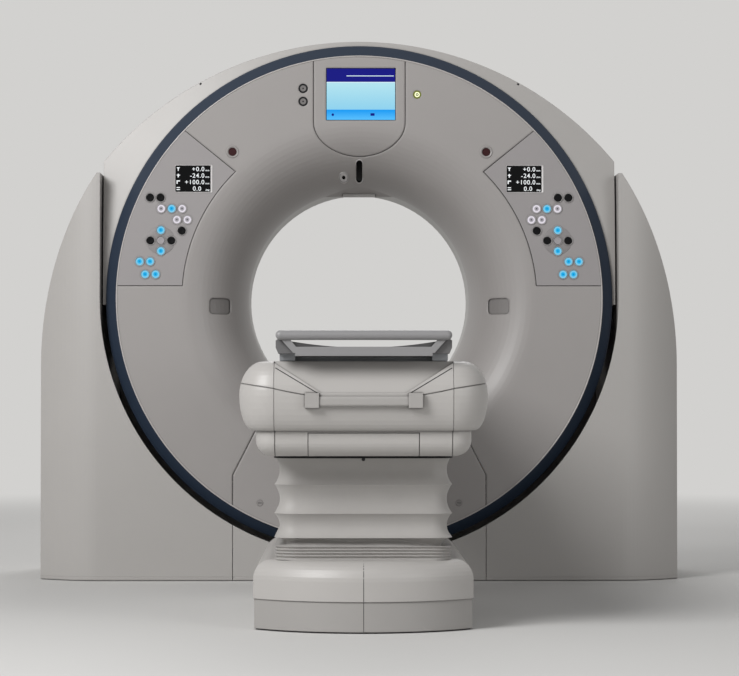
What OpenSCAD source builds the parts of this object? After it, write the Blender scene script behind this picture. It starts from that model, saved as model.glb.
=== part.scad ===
// Computed tomography scanner: tilting gantry in its floor stand, and a lifting patient couch.
// Millimetres, Z up, front of the gantry faces -Y, origin on the floor under the isocentre.

/* [Gantry] */
// height of the bore axis above the floor
iso_z = 970; // [940:5:1020]
// radius of the patient bore
bore_r = 390; // [370:1:396]
// radius where the bell mouth meets the flat front face
mouth_r = 610; // [600:1:611]
// radius of the flat front disc
disc_r = 836; // [826:1:840]
// distance from the axis plane to the front and rear faces of the tilting unit
half_depth = 420; // [410:1:430]
// half length of the straight part of the bore
throat = 110; // [90:1:130]
// thickness of the moulded covers
skin = 10; // [8:0.5:12]
// radial width of the dark trim ring
ring_w = 32; // [26:1:34]
// radius of the crown's outer arc
crown_r = 1157; // [1140:1:1180]
// distance of the crown arc's centre below the bore axis
crown_drop = 266; // [255:1:275]
// half width of the crown and of everything that tilts
head_half_w = 886; // [876:1:887]
// radius of the lower drum cover
belly_r = 845; // [835:1:850]
// radius of the rear disc
rear_r = 790; // [784:1:794]

/* [Stand] */
// half width between the inner faces of the stand covers
stand_in = 892; // [888:1:896]
// half width over the stand covers
stand_out = 1104; // [1100:1:1120]
// distance of the stand covers' front and rear faces from the axis plane
stand_half_d = 430; // [428:1:440]
// how far the outer edge of the covers curves back
stand_bow = 100; // [60:5:120]
// height where the outer edge starts to curve inwards
shoulder_z = 742; // [700:1:760]
// radius of that outer curve
shoulder_r = 1190; // [1150:5:1240]
// height of the tip of the stand covers
tip_z = 1402; // [1360:1:1410]
// gap between the covers and the floor
floor_gap = 14; // [14:1:20]
// half width of the centre kick panel
kick_half_w = 435; // [400:5:460]
// radius of the tilt trunnions
pin_r = 60; // [50:1:70]
// radial clearance of the trunnions in their bearings
run_fit = 0.08; // [0.02:0.01:0.1]

/* [Front panels] */
// half width of the monitor panel
mon_half_w = 157; // [150:1:165]
// height of the monitor panel's lower edge above the axis
mon_low = 494; // [476:1:500]
// height of the monitor panel's rounded lower end
mon_drop = 112; // [100:1:120]
// screen width
screen_w = 240; // [220:1:250]
// screen height
screen_h = 181; // [170:1:190]
// seam around the inset panels
seam = 2; // [1.5:0.5:3]
// depth of the pockets for the inset panels
pocket = 5; // [4:0.5:6]
// how far the inset panels stand out
proud = 2; // [1:0.5:3]
// radius of a key
key_r = 12.5; // [11:0.5:13.5]
// spacing of the keys
key_pitch = 36; // [34:1:38]
// width of the small displays
lcd_w = 127; // [115:1:130]
// height of the small displays
lcd_h = 94; // [86:1:98]
// radius of the stop buttons
stop_r = 16; // [14:0.5:18]
// travel of the stop buttons
stop_travel = 6; // [5:0.5:8]

/* [Couch] */
// foot end of the couch body
foot_y = -2548; // [-2560:1:-2540]
// head end of the couch body
head_y = -760; // [-770:1:-750]
// half width between the seams of the end cover
seam_x = 240; // [236:1:244]
// how far the side covers bulge beyond the seams
bulge = 95; // [80:1:100]
// height of the couch body's top
top_z = 732; // [726:1:740]
// height of the widest line of the couch body
wide_z = 640; // [630:1:650]
// height of the ledge under the side covers
ledge_z = 546; // [540:1:552]
// height of the couch body's underside
under_z = 477; // [472:1:482]
// thickness of the couch covers
couch_skin = 6; // [4:0.5:8]
// table top width
table_w = 470; // [450:1:480]
// table top length
table_l = 1880; // [1860:5:1900]
// height of the table top's underside
table_z = 752; // [750:1:754]
// height of the raised edge of the table top
table_edge_z = 790; // [786:1:794]
// grip bar radius
grip_r = 13; // [11:0.5:14]

/* [Couch base] */
// base width
base_w = 603; // [580:1:610]
// where the straight sides of the base end at the foot
base_y = -2330; // [-2340:1:-2320]
// length of the straight sides of the base
base_l = 1150; // [1140:5:1170]
// how far the foot end of the base bows out
base_bow = 140; // [110:5:170]
// height of the top of the base
base_z = 194; // [182:1:200]
// height of the seam round the base
base_seam_z = 85; // [70:1:90]
// bellows width over the ridges
bellows_w = 488; // [460:1:492]
// bellows length over the ridges
bellows_l = 1120; // [1100:5:1130]
// depth of the bellows folds
fold_d = 15; // [12:1:18]
// clearance between the stages of the lifting column
slide_fit = 0.1; // [0.05:0.05:0.2]
// length of each stage of the lifting column
stage_l = 230; // [226:1:234]

/* [Hidden] */
$fn = 96;
front_y = -half_depth;
ring_r = disc_r + 2 + ring_w;
seat_y = front_y + skin;
pocket_y = front_y + pocket;
panel_y = front_y - proud;
keel_h = bore_r - 19;
keel_l = 115;
keel_rise = 36;
keel_half_w = sqrt(bore_r * bore_r - keel_h * keel_h) + 6;
lip_half_w = 57;
lip_l = 30;
lip_t = 12;
lip_fit = 0.3;
slot_low = 413;
slot_top = 481;
slot_r = 10.5;
lens_x = -54;
lens_h = 427;
lens_r = 14;
pupil_r = 6;
window_d = 3;
laser_back = -throat - 50;
win_in = 449;
win_out = 517;
win_low = -53;
win_top = 2;
win_r = 12;
screen_x = 5;
screen_c = 704;
lcd_x = 570;
lcd_c = 412;
ctl_in = 200;
ctl_low = 45;
crown_rake = 80;
ctl_corner = [421, 430];
ctl_top = [608, 582];
glass_d = 4;
glass_in = 1;
key_h = 4;
pad = [683, 199];
row = [646, 309];
ends = key_pitch * [1, 0];
rise = key_pitch * [0, 1];
blue_keys = [row, pad + rise, pad - rise, [720, 127], [720, 127] + ends, [701, 83], [701, 83] + ends];
white_keys = [row - ends, row + ends, [592, 271], [592, 271] + ends];
dark_keys = [[684, 347], [684, 347] + ends, [611, 233], pad - ends, pad, pad + ends];
lamp_places = [[-194, 679, 15], [-194, 724, 15], [199, 703, 13]];
bell_n = 20;
rotor_in = bore_r + 46;
rotor_r = mouth_r + 80;
rotor_rim = 20;
rotor_y = -290;
magnet_r = rotor_r + 22;
air_gap = 3;
stator_in = magnet_r + air_gap;
stator_r = stator_in + 32;
motor_y0 = -60;
motor_y1 = 30;
plate_y = 40;
race_y = 98;
race_r = rotor_in + 32;
race_fit = 0.4;
race_out = race_r + race_fit;
bearing_r = race_r + 52;
frame_y = 150;
frame_t = 40;
frame_in = rotor_in + 4;
frame_rim = stator_r + 33;
slip_in = bearing_r + 20;
slip_p = 30;
slip_w = 22;
slip_d = 5;
slip_y = race_y + 14;
brush_fit = 0.6;
orbit = mouth_r - 55;
tube_r = 105;
det_y = -180;
det_t = 94;
hv_half_w = 150;
hv_y = -250;
hv_in = orbit - 95;
hv_out = orbit + 75;
fan_half_w = 130;
fan_y = -240;
fan_in = orbit - 75;
fan_out = orbit + 85;
fin_p = 40;
weight_y = -200;
weight_in = orbit - 55;
low_in = orbit + 5;
low_out = orbit + 95;
low_near = 60;
low_far = 90;
shell_t = 8;
stand_room = stand_out - stand_in - 2 * shell_t;
beam_in = stand_in + shell_t + 0.045 * stand_room;
beam_out = beam_in + 0.4 * stand_room;
flange_t = 15;
gear_x = beam_out + flange_t;
gear_t = 44;
gear_bore = 36;
gear_half_w = 110;
gear_top = 90;
motor_r = 42;
motor_x = gear_x + motor_r + 1;
motor_l = 221;
motor_end = 20;
foot_out = stand_out - shell_t - 16;
foot_half_l = 330;
foot_h = 92;
anchor_x = foot_out - 35;
anchor_r = 9;
tie_in = stand_half_d - shell_t;
tie_w = 60;
corner_gap = 8;
pillar_half_d = 170;
skirt_gap = 0.4;
tie_z = 12;
tie_h = 48;
side_w = seam_x + bulge;
base_r = (base_w * base_w / 4 + base_bow * base_bow) / (2 * base_bow);
bel_y = base_y - 40;
col_y = -1825;
deck_t = 10;
rail_w = 42;
rail_z = table_z - 8;
table_y = foot_y + 8;
flat_r = 31;
low_r = 58;
tray_r = 50;
tray_low = 5;
tray_mid = under_z + 42;
end_skin = 32;
end_in = 20;
smile_z = 630;
smile_h = 56;
smile_r = (side_w * side_w + smile_h * smile_h) / (2 * smile_h);
smile_seam = smile_z + smile_r - sqrt(smile_r * smile_r - seam_x * seam_x);
smile_rise = 16;
groove = 3;
groove_d = 2.5;
stop_x = 437;
stop_h = 505;
stop_l = 29;
grip_in = 119;
grip_out = 157;
grip_low = 607;
grip_top = 647;
scoop_w = grip_in - 6;
handle_y = 10;
handle_z = 625;
handle_t = 7;
hatch_w = 300;
hatch_z = ledge_z - 5;
hatch_d = 4;
web_in = 150;
web_out = 190;
web_t = 14;
web_end = 130;
rib_t = 20;
rib_y = 250;
col_w = 260;
col_l = 320;
col_t = 12;
stage_t = col_t + slide_fit;
mid_z = 140;
plate_t = 20;
tie_half_w = 150;
base_sh = 55;
fold_at = [0, 80, 159, 225];
fold_low = under_z - base_z - fold_at[3];
rail_out = 226;
rail_gap = 1;
grip_z = table_z + 49;
grip_slant = 47;
hold_h = 18;
sheet_t = 14;

// pieces that turn about the bore axis: profile is [radius, y]
module about_bore(a = 360, a0 = 0) {
  translate([0, 0, iso_z])
    rotate([-90, 0, 0])
      rotate([0, 0, a0])
        rotate_extrude(angle = a, $fn = 160)
          children();
}

// front elevation from y0 to y1: profile is [x, height above the axis]
module elev(y0, y1) {
  translate([0, y1, iso_z])
    rotate([90, 0, 0])
      linear_extrude(y1 - y0)
        children();
}

// front elevation from y0 to y1: profile is [x, z]
module elev_z(y0, y1) {
  translate([0, y1, 0])
    rotate([90, 0, 0])
      linear_extrude(y1 - y0)
        children();
}

// side profile from x0 to x1: profile is [y, z]
module side(x0, x1) {
  translate([x0, 0, 0])
    rotate([90, 0, 90])
      linear_extrude(x1 - x0)
        children();
}

module box(a, b) {
  translate(a)
    cube(b - a);
}

module rod_x(x0, x1, r, y, z) {
  translate([x0, y, z])
    rotate([0, 90, 0])
      cylinder(r = r, h = x1 - x0);
}

module rod_y(y0, y1, r, x, z) {
  translate([x, y0, z])
    rotate([-90, 0, 0])
      cylinder(r = r, h = y1 - y0);
}

module pair() {
  children();
  mirror([1, 0, 0])
    children();
}

// turned about the bore axis, clockwise seen from the front
module at_clock(a) {
  translate([0, 0, iso_z])
    rotate([0, a, 0])
      children();
}

function arc(cx, cy, r, a0, a1,
  n) = [for (i = [0 : n]) let (a = a0 + (a1 - a0) * i / n) [cx + r * cos(a), cy + r * sin(a)]];

// bell mouth from the throat out to the face, d is the offset behind the visible skin
function bell(r0, r1, y0, y1, d) = [for (i = [0 : bell_n]) let (a = 90 * i / bell_n)
  [r1 - (r1 - r0 - d) * cos(a), y0 + (y1 - y0) * sin(a) + (y1 < y0 ? d : -d) * sin(a)]];

// stand

module pillar() {
  wall = 0.09 * stand_room;
  d = pillar_half_d;
  difference() {
    union() {
      box([beam_in, -d, foot_h], [beam_out, d, iso_z]);
      rod_x(beam_in, beam_out, d, 0, iso_z);
      box([beam_out, -12, foot_h], [beam_out + 0.4 * stand_room, 12, iso_z - 380]);
    }
    rod_x(beam_in - 1, beam_out + 1, pin_r + 40.2, 0, iso_z);
    box([beam_in + wall, -d + 50, 200], [beam_out - wall, d - 50, iso_z - d - 50]);
  }
}

// cross tie and its corner blocks at the rear
module stand_tie() {
  box([-stand_in, tie_in - tie_w, tie_z], [stand_in, tie_in, tie_z + tie_h]);
  pair()
    box([beam_in - 90, foot_half_l - 20, tie_z], [beam_in + 0.1 * stand_room, tie_in - corner_gap, foot_h]);
}

module stand_frame() {
  color("DimGray")
    difference() {
      union() {
        pair()
          box([beam_in, -foot_half_l, 0], [foot_out, foot_half_l, foot_h]);
        pair()
          pillar();
        stand_tie();
        mirror([0, 1, 0])
          stand_tie();
      }
      pair()
        for (s = [-1, 1])
          translate([anchor_x, s * (foot_half_l - 50), -1])
            cylinder(r = anchor_r, h = foot_h + 2);
    }
}

module tilt_bearings() {
  color("Silver")
    pair()
      difference() {
        union() {
          rod_x(beam_in, beam_out, pin_r + 40, 0, iso_z);
          rod_x(beam_out, gear_x, pin_r + 75, 0, iso_z);
        }
        rod_x(beam_in - 1, gear_x + 1, pin_r + run_fit, 0, iso_z);
      }
}

module tilt_gearmotor() {
  motor_top = iso_z - gear_half_w + 1;
  color("RoyalBlue")
    difference() {
      union() {
        box([gear_x, -gear_half_w, iso_z - gear_half_w], [gear_x + gear_t, gear_half_w, iso_z + gear_top]);
        translate([motor_x, 0, motor_top - motor_l])
          cylinder(r = motor_r, h = motor_l);
        translate([motor_x, 0, motor_top - motor_l - motor_end])
          cylinder(r = 0.8 * motor_r, h = motor_end + 1);
      }
      rod_x(gear_x - 1, gear_x + gear_bore, pin_r + 1, 0, iso_z);
    }
}

// plan of a stand cover, d inside its visible face
module stand_plan(d) {
  n = 16;
  c = stand_out - d - stand_in;
  yo = stand_half_d - d;
  f = [for (i = [0 : n]) [stand_in + c * i / n, -yo + stand_bow * i * i / n / n]];
  polygon(concat([[kick_half_w + seam / 2, -yo]], f, [for (i = [0 : n]) [f[n - i][0], -f[n - i][1]]],
    [[kick_half_w + seam / 2, yo]]));
}

// front outline of a stand cover from x0 outwards, d inside its visible face
module stand_outline(x0, z0, z1, d) {
  intersection() {
    translate([x0, z0])
      square([stand_out - d - x0, z1 - z0]);
    union() {
      translate([stand_out - shoulder_r, shoulder_z])
        circle(r = shoulder_r - d, $fn = 300);
      square([stand_out - d, shoulder_z]);
    }
  }
}

module stand_cover_right() {
  t = shell_t;
  x0 = kick_half_w + seam / 2;
  color("WhiteSmoke")
    difference() {
      intersection() {
        linear_extrude(tip_z + 1)
          stand_plan(0);
        elev_z(-500, 500)
          difference() {
            stand_outline(x0, floor_gap, tip_z, 0);
            translate([0, iso_z])
              circle(r = stand_in, $fn = 200);
            translate([0, iso_z])
              square([stand_in, tip_z]);
          }
      }
      intersection() {
        translate([0, 0, -1])
          linear_extrude(tip_z + 1)
            stand_plan(t);
        elev_z(-500, 500)
          stand_outline(stand_in + t, 0, tip_z - 20, t);
      }
      box([x0 - 10, -stand_half_d + t, 0], [stand_in, 500, tip_z + 1]);
      rod_x(stand_in - 10, stand_in + t + 10, pin_r + 20, 0, iso_z);
      box([stand_in - 1, -stand_half_d + t, 0], [stand_in + t + 1, stand_half_d - t, foot_h + 1]);
    }
}

module stand_cover_left() {
  mirror([1, 0, 0])
    stand_cover_right();
}

module kick_panel() {
  a = acos(kick_half_w / stand_in);
  w = kick_half_w - seam / 2;
  color("WhiteSmoke")
    elev_z(-stand_half_d, -stand_half_d + shell_t)
      difference() {
        translate([-w, floor_gap])
          square([2 * w, iso_z - stand_in * sin(a) - floor_gap]);
        translate([0, iso_z])
          circle(r = stand_in, $fn = 200);
      }
}

module rear_skirt() {
  w = stand_in - skirt_gap;
  color("WhiteSmoke")
    difference() {
      elev_z(stand_half_d - shell_t, stand_half_d)
        difference() {
          translate([-w, floor_gap])
            square([2 * w, iso_z - 60 - floor_gap]);
          translate([0, iso_z])
            circle(r = rear_r + 24, $fn = 200);
        }
      pair()
        for (i = [0 : 6])
          box([520, stand_half_d - 5, 130 + 22 * i], [760, stand_half_d + 1, 140 + 22 * i]);
    }
}

// tilting unit

module cover_struts() {
  for (a = [112, 147, 180, 213, 248])
      translate([0, 0, iso_z])
        rotate([0, a, 0])
          difference() {
            box([-25, -60, frame_rim - 12], [25, -20, belly_r - 4]);
            difference() {
              rod_y(-100, 100, belly_r + 60, 0, 0);
              rod_y(-101, 101, belly_r - 8, 0, 0);
            }
          }
}

module tilt_frame() {
  color("SlateGray")
    difference() {
      union() {
        about_bore()
          polygon([[frame_in, frame_y], [stator_r, frame_y], [stator_r, -100], [frame_rim, -100],
            [frame_rim, frame_y + frame_t], [frame_in, frame_y + frame_t]]);
        pair()
          difference() {
            rod_x(stator_r - 47, head_half_w - 8, pin_r + 45, 0, iso_z);
            rod_y(-300, 300, stator_r + 0.5, 0, iso_z);
          }
        cover_struts();
        pair()
          rod_x(head_half_w - 9, gear_x + gear_bore - 2, pin_r, 0, iso_z);
      }
      for (a = [20 : 40 : 340])
        at_clock(a)
          rod_y(frame_y - 1, frame_y + frame_t + 1, 45, 0, mouth_r);
    }
}

module bearing_outer() {
  color("Silver")
    about_bore()
      polygon([[race_out, race_y + 2], [bearing_r, race_y + 2], [bearing_r, frame_y], [race_out, frame_y],
        [race_out, 130], [race_out + 5.6, 125], [race_out, 120]]);
}

module motor_stator() {
  color("DarkGoldenrod")
    about_bore()
      polygon([[stator_in, motor_y0], [stator_r, motor_y0], [stator_r, motor_y1], [stator_in, motor_y1]]);
}

module brush_block() {
  color("SaddleBrown")
    box([-70, slip_y + brush_fit, iso_z + slip_in + 8], [70, frame_y, iso_z + slip_in + 108]);
}

// visible face of the front cover as [radius, y], d is the offset behind it
function face(d) = concat(bell(bore_r, mouth_r, -throat, front_y, d), [[disc_r, front_y + d]]);

// layer of the front cover between two offsets behind its face
module face_layer(d0, d1) {
  f = face(d1);
  n = len(f) - 1;
  about_bore()
    polygon(concat(face(d0), [for (i = [0 : n]) f[n - i]]));
}

module disc_cavity() {
  about_bore()
    polygon(concat([[bore_r + skin - 0.01, -throat + 1]], face(skin), [[disc_r + 1, seat_y],
      [disc_r + 1, -throat + 1]]));
}

// flat at the top of the throat that carries the laser lip
module keel() {
  difference() {
    translate([0, 0, iso_z])
      side(-keel_half_w, keel_half_w)
        polygon([[-throat, keel_h], [-throat - keel_l, keel_h + keel_rise], [-throat, keel_h + keel_rise]]);
    disc_cavity();
  }
}

module laser_lip(d) {
  box([-lip_half_w - d, -throat - lip_l - d, iso_z + keel_h - 1], [lip_half_w + d, -throat,
    iso_z + keel_h + lip_t + d]);
}

module slot_outline() {
  polygon(concat(arc(0, slot_top - slot_r, slot_r, 0, 180, 12),
    arc(0, slot_low + slot_r, slot_r, 180, 360, 12)));
}

module lens_outline(r) {
  polygon(arc(lens_x, lens_h, r, 0, 345, 23));
}

// window beside the bore with round corners
module window_outline() {
  r = win_r;
  polygon(concat(arc(win_out - r, win_top - r, r, 0, 90, 6), arc(win_in + r, win_top - r, r, 90, 180, 6),
    arc(win_in + r, win_low + r, r, 180, 270, 6), arc(win_out - r, win_low + r, r, 270, 360, 6)));
}

module lower_panel_outline(d) {
  polygon([[-kick_half_w - d, -disc_r - 20], [-kick_half_w - d, -607], [-270 - d, -284], [-200, -200],
    [200, -200],
    [270 + d, -284], [kick_half_w + d, -607], [kick_half_w + d, -disc_r - 20]]);
}

// straight sides and a half ellipse for the lower end
module monitor_outline(d) {
  n = 24;
  intersection() {
    circle(r = disc_r - 3 + d / 2, $fn = 160);
    polygon(concat([for (i = [0 : n]) let (a = 180 + 180 * i / n) [(mon_half_w + d) * cos(a),
      mon_low + mon_drop + (mon_drop + d) * sin(a)]], [[mon_half_w + d, disc_r], [-mon_half_w - d, disc_r]]));
  }
}

module control_outline(d) {
  intersection() {
    difference() {
      circle(r = disc_r - 3 + d / 2, $fn = 160);
      circle(r = mouth_r + 2 - d, $fn = 120);
    }
    polygon([[ctl_in, ctl_low - d], [disc_r + 50, ctl_low - d], [disc_r + 50, ctl_top[1] + d],
      [ctl_top[0], ctl_top[1] + d], [ctl_corner[0] - d, ctl_corner[1] + d]]);
  }
}

module front_cover() {
  color("Gainsboro")
    difference() {
      union() {
        face_layer(0, skin);
        keel();
        pair()
          rod_y(front_y + 2, front_y + stop_l + stop_travel + 9, stop_r + 6, stop_x, iso_z + stop_h);
      }
      elev(front_y - 1, -throat + 1)
        lower_panel_outline(seam / 2);
      intersection() {
        face_layer(-proud - 1, pocket);
        elev(panel_y - 2, -throat)
          monitor_outline(seam);
      }
      pair()
        elev(front_y - 1, pocket_y)
          control_outline(seam);
      laser_lip(lip_fit);
      elev(front_y, laser_back) {
        slot_outline();
        lens_outline(lens_r);
      }
      pair()
        rod_y(front_y - 1, front_y + stop_l + stop_travel + 3, stop_r + 0.4, stop_x, iso_z + stop_h);
      for (p = lamp_places)
        rod_y(front_y - 1, pocket_y, p[2], p[0], iso_z + p[1]);
      pair()
        elev(front_y, laser_back)
          window_outline();
    }
}

module front_lower_cover() {
  color("Gainsboro")
    intersection() {
      face_layer(0, skin);
      elev(front_y - 1, -throat)
        lower_panel_outline(-seam / 2);
    }
}

module ring_trim() {
  color("DarkSlateGray")
    about_bore()
      polygon([[disc_r - 36, seat_y], [disc_r + 2, seat_y], [disc_r + 2, front_y + 6], [ring_r,
        front_y + 30],
        [ring_r, front_y + 42], [disc_r - 36, front_y + 42]]);
}

module crown_block(d) {
  y0 = front_y + 42 + d;
  y1 = half_depth - 20 - d;
  e = 26;
  intersection() {
    translate([0, 0, iso_z - crown_drop])
      rotate([-90, 0, 0])
        rotate_extrude($fn = 200)
          polygon(concat([[0, y0 - 60], [crown_r - d - e, y0 - 60]], arc(crown_r - d - e, y0 - 60 + e,
            e, -90, 0, 6),
            arc(crown_r - d - e, y1 - e, e, 0, 90, 6), [[0, y1]]));
    about_bore()
      polygon([[0, y0], [ring_r + 3, y0], [crown_r, y0 + crown_rake], [crown_r, y1], [0, y1]]);
    box([-head_half_w + d, -500, iso_z - 20], [head_half_w - d, 500, iso_z + 1200]);
  }
}

module crown_cover() {
  color("WhiteSmoke")
    difference() {
      crown_block(0);
      intersection() {
        crown_block(8);
        box([-2000, -500, 0], [2000, 500, 3000]);
      }
      box([-head_half_w + 8, front_y + 60, iso_z - 30], [head_half_w - 8, half_depth - 40, iso_z + 40]);
      rod_y(front_y + 41, half_depth - 60, disc_r + 6, 0, iso_z);
      rod_y(half_depth - 80, half_depth, rear_r + 0.5, 0, iso_z);
      pair()
        rod_x(head_half_w - 20, head_half_w + 20, pin_r + 48, 0, iso_z);
    }
}

module belly_cover() {
  color("WhiteSmoke")
    difference() {
      about_bore()
        polygon([[disc_r - 20, front_y + 42], [ring_r - 2, front_y + 42], [belly_r, front_y + 90],
          [belly_r, 290],
          [rear_r + 0, half_depth - 12], [rear_r - 40, half_depth - 12], [rear_r - 40,
            half_depth - 20], [rear_r - 12, half_depth - 20],
          [belly_r - 8, 286], [belly_r - 8, front_y + 94], [disc_r - 20, front_y + 50]]);
      box([-1000, -500, iso_z - 21], [1000, 500, iso_z + 1000]);
      pair()
        rod_x(700, 900, pin_r + 48, 0, iso_z);
    }
}

module rear_cover() {
  color("Gainsboro")
    about_bore()
      polygon(concat(bell(bore_r, mouth_r, throat, half_depth, 0), [[rear_r, half_depth], [rear_r,
        half_depth - 12]],
        [[mouth_r, half_depth - 12]],
        [for (i = [1 : bell_n]) bell(bore_r, mouth_r, throat, half_depth - 2, skin)[bell_n - i]]));
}

module bore_liner() {
  color("LightSteelBlue")
    about_bore()
      polygon([[bore_r, -throat], [bore_r + 6, -throat], [bore_r + 6, throat], [bore_r, throat]]);
}

// display of width w and height h about a point of the front elevation
module display(p, w, h, y0, y1) {
  box([p[0] - w / 2, y0, iso_z + p[1] - h / 2], [p[0] + w / 2, y1, iso_z + p[1] + h / 2]);
}

module monitor_panel() {
  color("Gainsboro")
    difference() {
      intersection() {
        face_layer(-proud, pocket);
        elev(panel_y - 1, -throat)
          monitor_outline(0);
      }
      display([screen_x, screen_c], screen_w, screen_h, panel_y - 1, panel_y + glass_d);
    }
}

module control_panel_right() {
  color("Silver")
    difference() {
      elev(panel_y, pocket_y)
        control_outline(0);
      display([lcd_x, lcd_c], lcd_w, lcd_h, panel_y - 1, panel_y + glass_d);
    }
}

module control_panel_left() {
  mirror([1, 0, 0])
    control_panel_right();
}

module screens() {
  color("MidnightBlue") {
    display([screen_x, screen_c], screen_w, screen_h, panel_y + glass_in, panel_y + glass_d);
    pair()
      display([lcd_x, lcd_c], lcd_w, lcd_h, panel_y + glass_in, panel_y + glass_d);
  }
}

module keys(places) {
  pair()
    for (p = places)
      rod_y(panel_y - key_h, panel_y, key_r, p[0], iso_z + p[1]);
}

module keys_blue() {
  color("DeepSkyBlue")
    keys(blue_keys);
}

module keys_white() {
  color("White")
    keys(white_keys);
}

module keys_dark() {
  color("DimGray")
    keys(dark_keys);
}

module stop_button(x) {
  color("DarkRed")
    rod_y(front_y + 2, front_y + 2 + stop_l, stop_r, x, iso_z + stop_h);
}

module stop_left() {
  stop_button(-stop_x);
}

module stop_right() {
  stop_button(stop_x);
}

module laser_housing() {
  color("White") {
    laser_lip(0);
    intersection() {
      face_layer(-1, skin);
      elev(front_y, laser_back)
        difference() {
          lens_outline(lens_r);
          lens_outline(pupil_r);
        }
    }
  }
}

module laser_windows() {
  color("Black") {
    intersection() {
      face_layer(window_d, skin);
      elev(front_y, laser_back) {
        slot_outline();
        lens_outline(pupil_r);
      }
    }
    pair()
      intersection() {
        face_layer(window_d, skin);
        elev(front_y, laser_back)
          window_outline();
      }
  }
}

module lamps() {
  color("YellowGreen")
    for (p = lamp_places)
      rod_y(front_y - 1, pocket_y, p[2], p[0], iso_z + p[1]);
}

// rotor

module rotor_frame() {
  color("LightGray")
    difference() {
      about_bore()
        polygon([[rotor_in, plate_y], [rotor_r - rotor_rim, plate_y], [rotor_r - rotor_rim, rotor_y],
          [rotor_r, rotor_y], [rotor_r, race_y], [rotor_in, race_y]]);
      for (a = [45 : 90 : 315])
        at_clock(a)
          rod_y(plate_y - 1, race_y + 1, 30, 0, orbit + 5);
    }
}

module bearing_inner() {
  color("Silver")
    about_bore()
      polygon([[rotor_in, race_y], [race_r, race_y], [race_r, frame_y - 2], [rotor_in, frame_y - 2]]);
}

module magnet_ring() {
  color("DimGray")
    about_bore()
      polygon([[rotor_r, motor_y0], [magnet_r, motor_y0], [magnet_r, motor_y1], [rotor_r, motor_y1]]);
}

// three tracks with grooves between them
module slip_ring() {
  color("Peru")
    about_bore()
      polygon(concat([[slip_in, race_y], [slip_in, slip_y]],
        [for (k = [0 : 2]) let (r = slip_in + slip_p * k + slip_w)
          each [[r, slip_y], [r, slip_y - slip_d], [r + slip_p - slip_w, slip_y - slip_d],
            [r + slip_p - slip_w, slip_y]]],
        [[slip_in + 4 * slip_p - 5, slip_y], [slip_in + 4 * slip_p - 5, race_y]]));
}

module xray_tube() {
  color("LightSlateGray") {
    rod_y(rotor_y + 20, plate_y, tube_r, 0, iso_z + orbit);
    rod_y(rotor_y + 5, rotor_y + 20, 70, 0, iso_z + orbit);
  }
}

module collimator() {
  color("Gray")
    difference() {
      box([-90, -140, iso_z + orbit - 147], [90, plate_y, iso_z + orbit - 75]);
      rod_y(-300, 100, tube_r + 0.2, 0, iso_z + orbit);
      box([-50, -70, iso_z + orbit - 155], [50, -40, iso_z + orbit]);
    }
}

module detector_array() {
  color("SteelBlue")
    translate([0, 0, iso_z])
      rotate([-90, 0, 0])
        rotate([0, 0, 58])
          rotate_extrude(angle = 64, $fn = 120)
            polygon([[orbit + 1, det_y], [orbit + 1 + det_t, det_y], [orbit + 1 + det_t, plate_y],
              [orbit + 1, plate_y]]);
}

module hv_units() {
  color("OliveDrab")
    for (a = [90, -90])
      at_clock(a)
        box([-hv_half_w, hv_y, hv_in], [hv_half_w, plate_y, hv_out]);
}

module heat_exchanger() {
  color("Silver")
    at_clock(45)
      difference() {
        box([-fan_half_w, fan_y, fan_in], [fan_half_w, plate_y, fan_out]);
        for (i = [0 : 5])
          box([fin_p * (i - 2.75), fan_y - 1, fan_in - 10], [fin_p * (i - 2.25), plate_y - 70, fan_out + 10]);
      }
}

module counterweights() {
  color("DarkSlateGray") {
    at_clock(-45)
      box([-fan_half_w, weight_y, weight_in], [fan_half_w, plate_y, fan_out]);
    at_clock(135)
      box([-low_near, weight_y, low_in], [low_far, plate_y, low_out]);
    at_clock(-135)
      box([-low_far, weight_y, low_in], [low_near, plate_y, low_out]);
  }
}

// couch

// couch cover profile as [distance out from the seam, z], d is the offset inside the visible skin
function couch_prof(d) = concat(
  [for (i = [0 : 10]) let (a = 90 - 9 * i) [flat_r + (bulge - flat_r - d) * cos(a),
    wide_z + (top_z - wide_z - d) * sin(a)]],
  [for (i = [1 : 8]) let (a = 90 * i / 8) [low_r - d + (bulge - low_r) * cos(a),
    wide_z - (wide_z - ledge_z - d) * sin(a)]]);

function tray_prof(d, z = ledge_z) = concat([[tray_r - d, z]],
  [for (i = [0 : 8]) let (a = -90 * i / 8) [tray_low + (tray_r - tray_low - d) * cos(a),
    tray_mid + (tray_mid - under_z - d) * sin(a)]]);

// the profile carried along one side and round both of its corners
module couch_side_run(p, r0) {
  q = concat([[r0, p[0][1]]], p, [[r0, p[len(p) - 1][1]]]);
  elev_z(foot_y + bulge, head_y - bulge)
    polygon([for (v = q) [seam_x + v[0], v[1]]]);
  if (r0 >= 0) {
    translate([seam_x, foot_y + bulge, 0])
      rotate([0, 0, -90])
        rotate_extrude(angle = 90)
          polygon(q);
    translate([seam_x, head_y - bulge, 0])
      rotate_extrude(angle = 90)
        polygon(q);
  }
}

module couch_hollow(d) {
  couch_side_run(couch_prof(d), 0);
  box([seam_x - 5, foot_y + bulge, ledge_z + d], [seam_x + 1, head_y - bulge, top_z - d]);
}

// profile across the foot end or the head end
module couch_end_run(p, x0, y0, s) {
  side(-x0, x0)
    polygon([for (v = concat([[-end_in, p[0][1]]], p, [[-end_in, p[len(p) - 1][1]]])) [y0 - s * v[0],
      v[1]]]);
}

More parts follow.
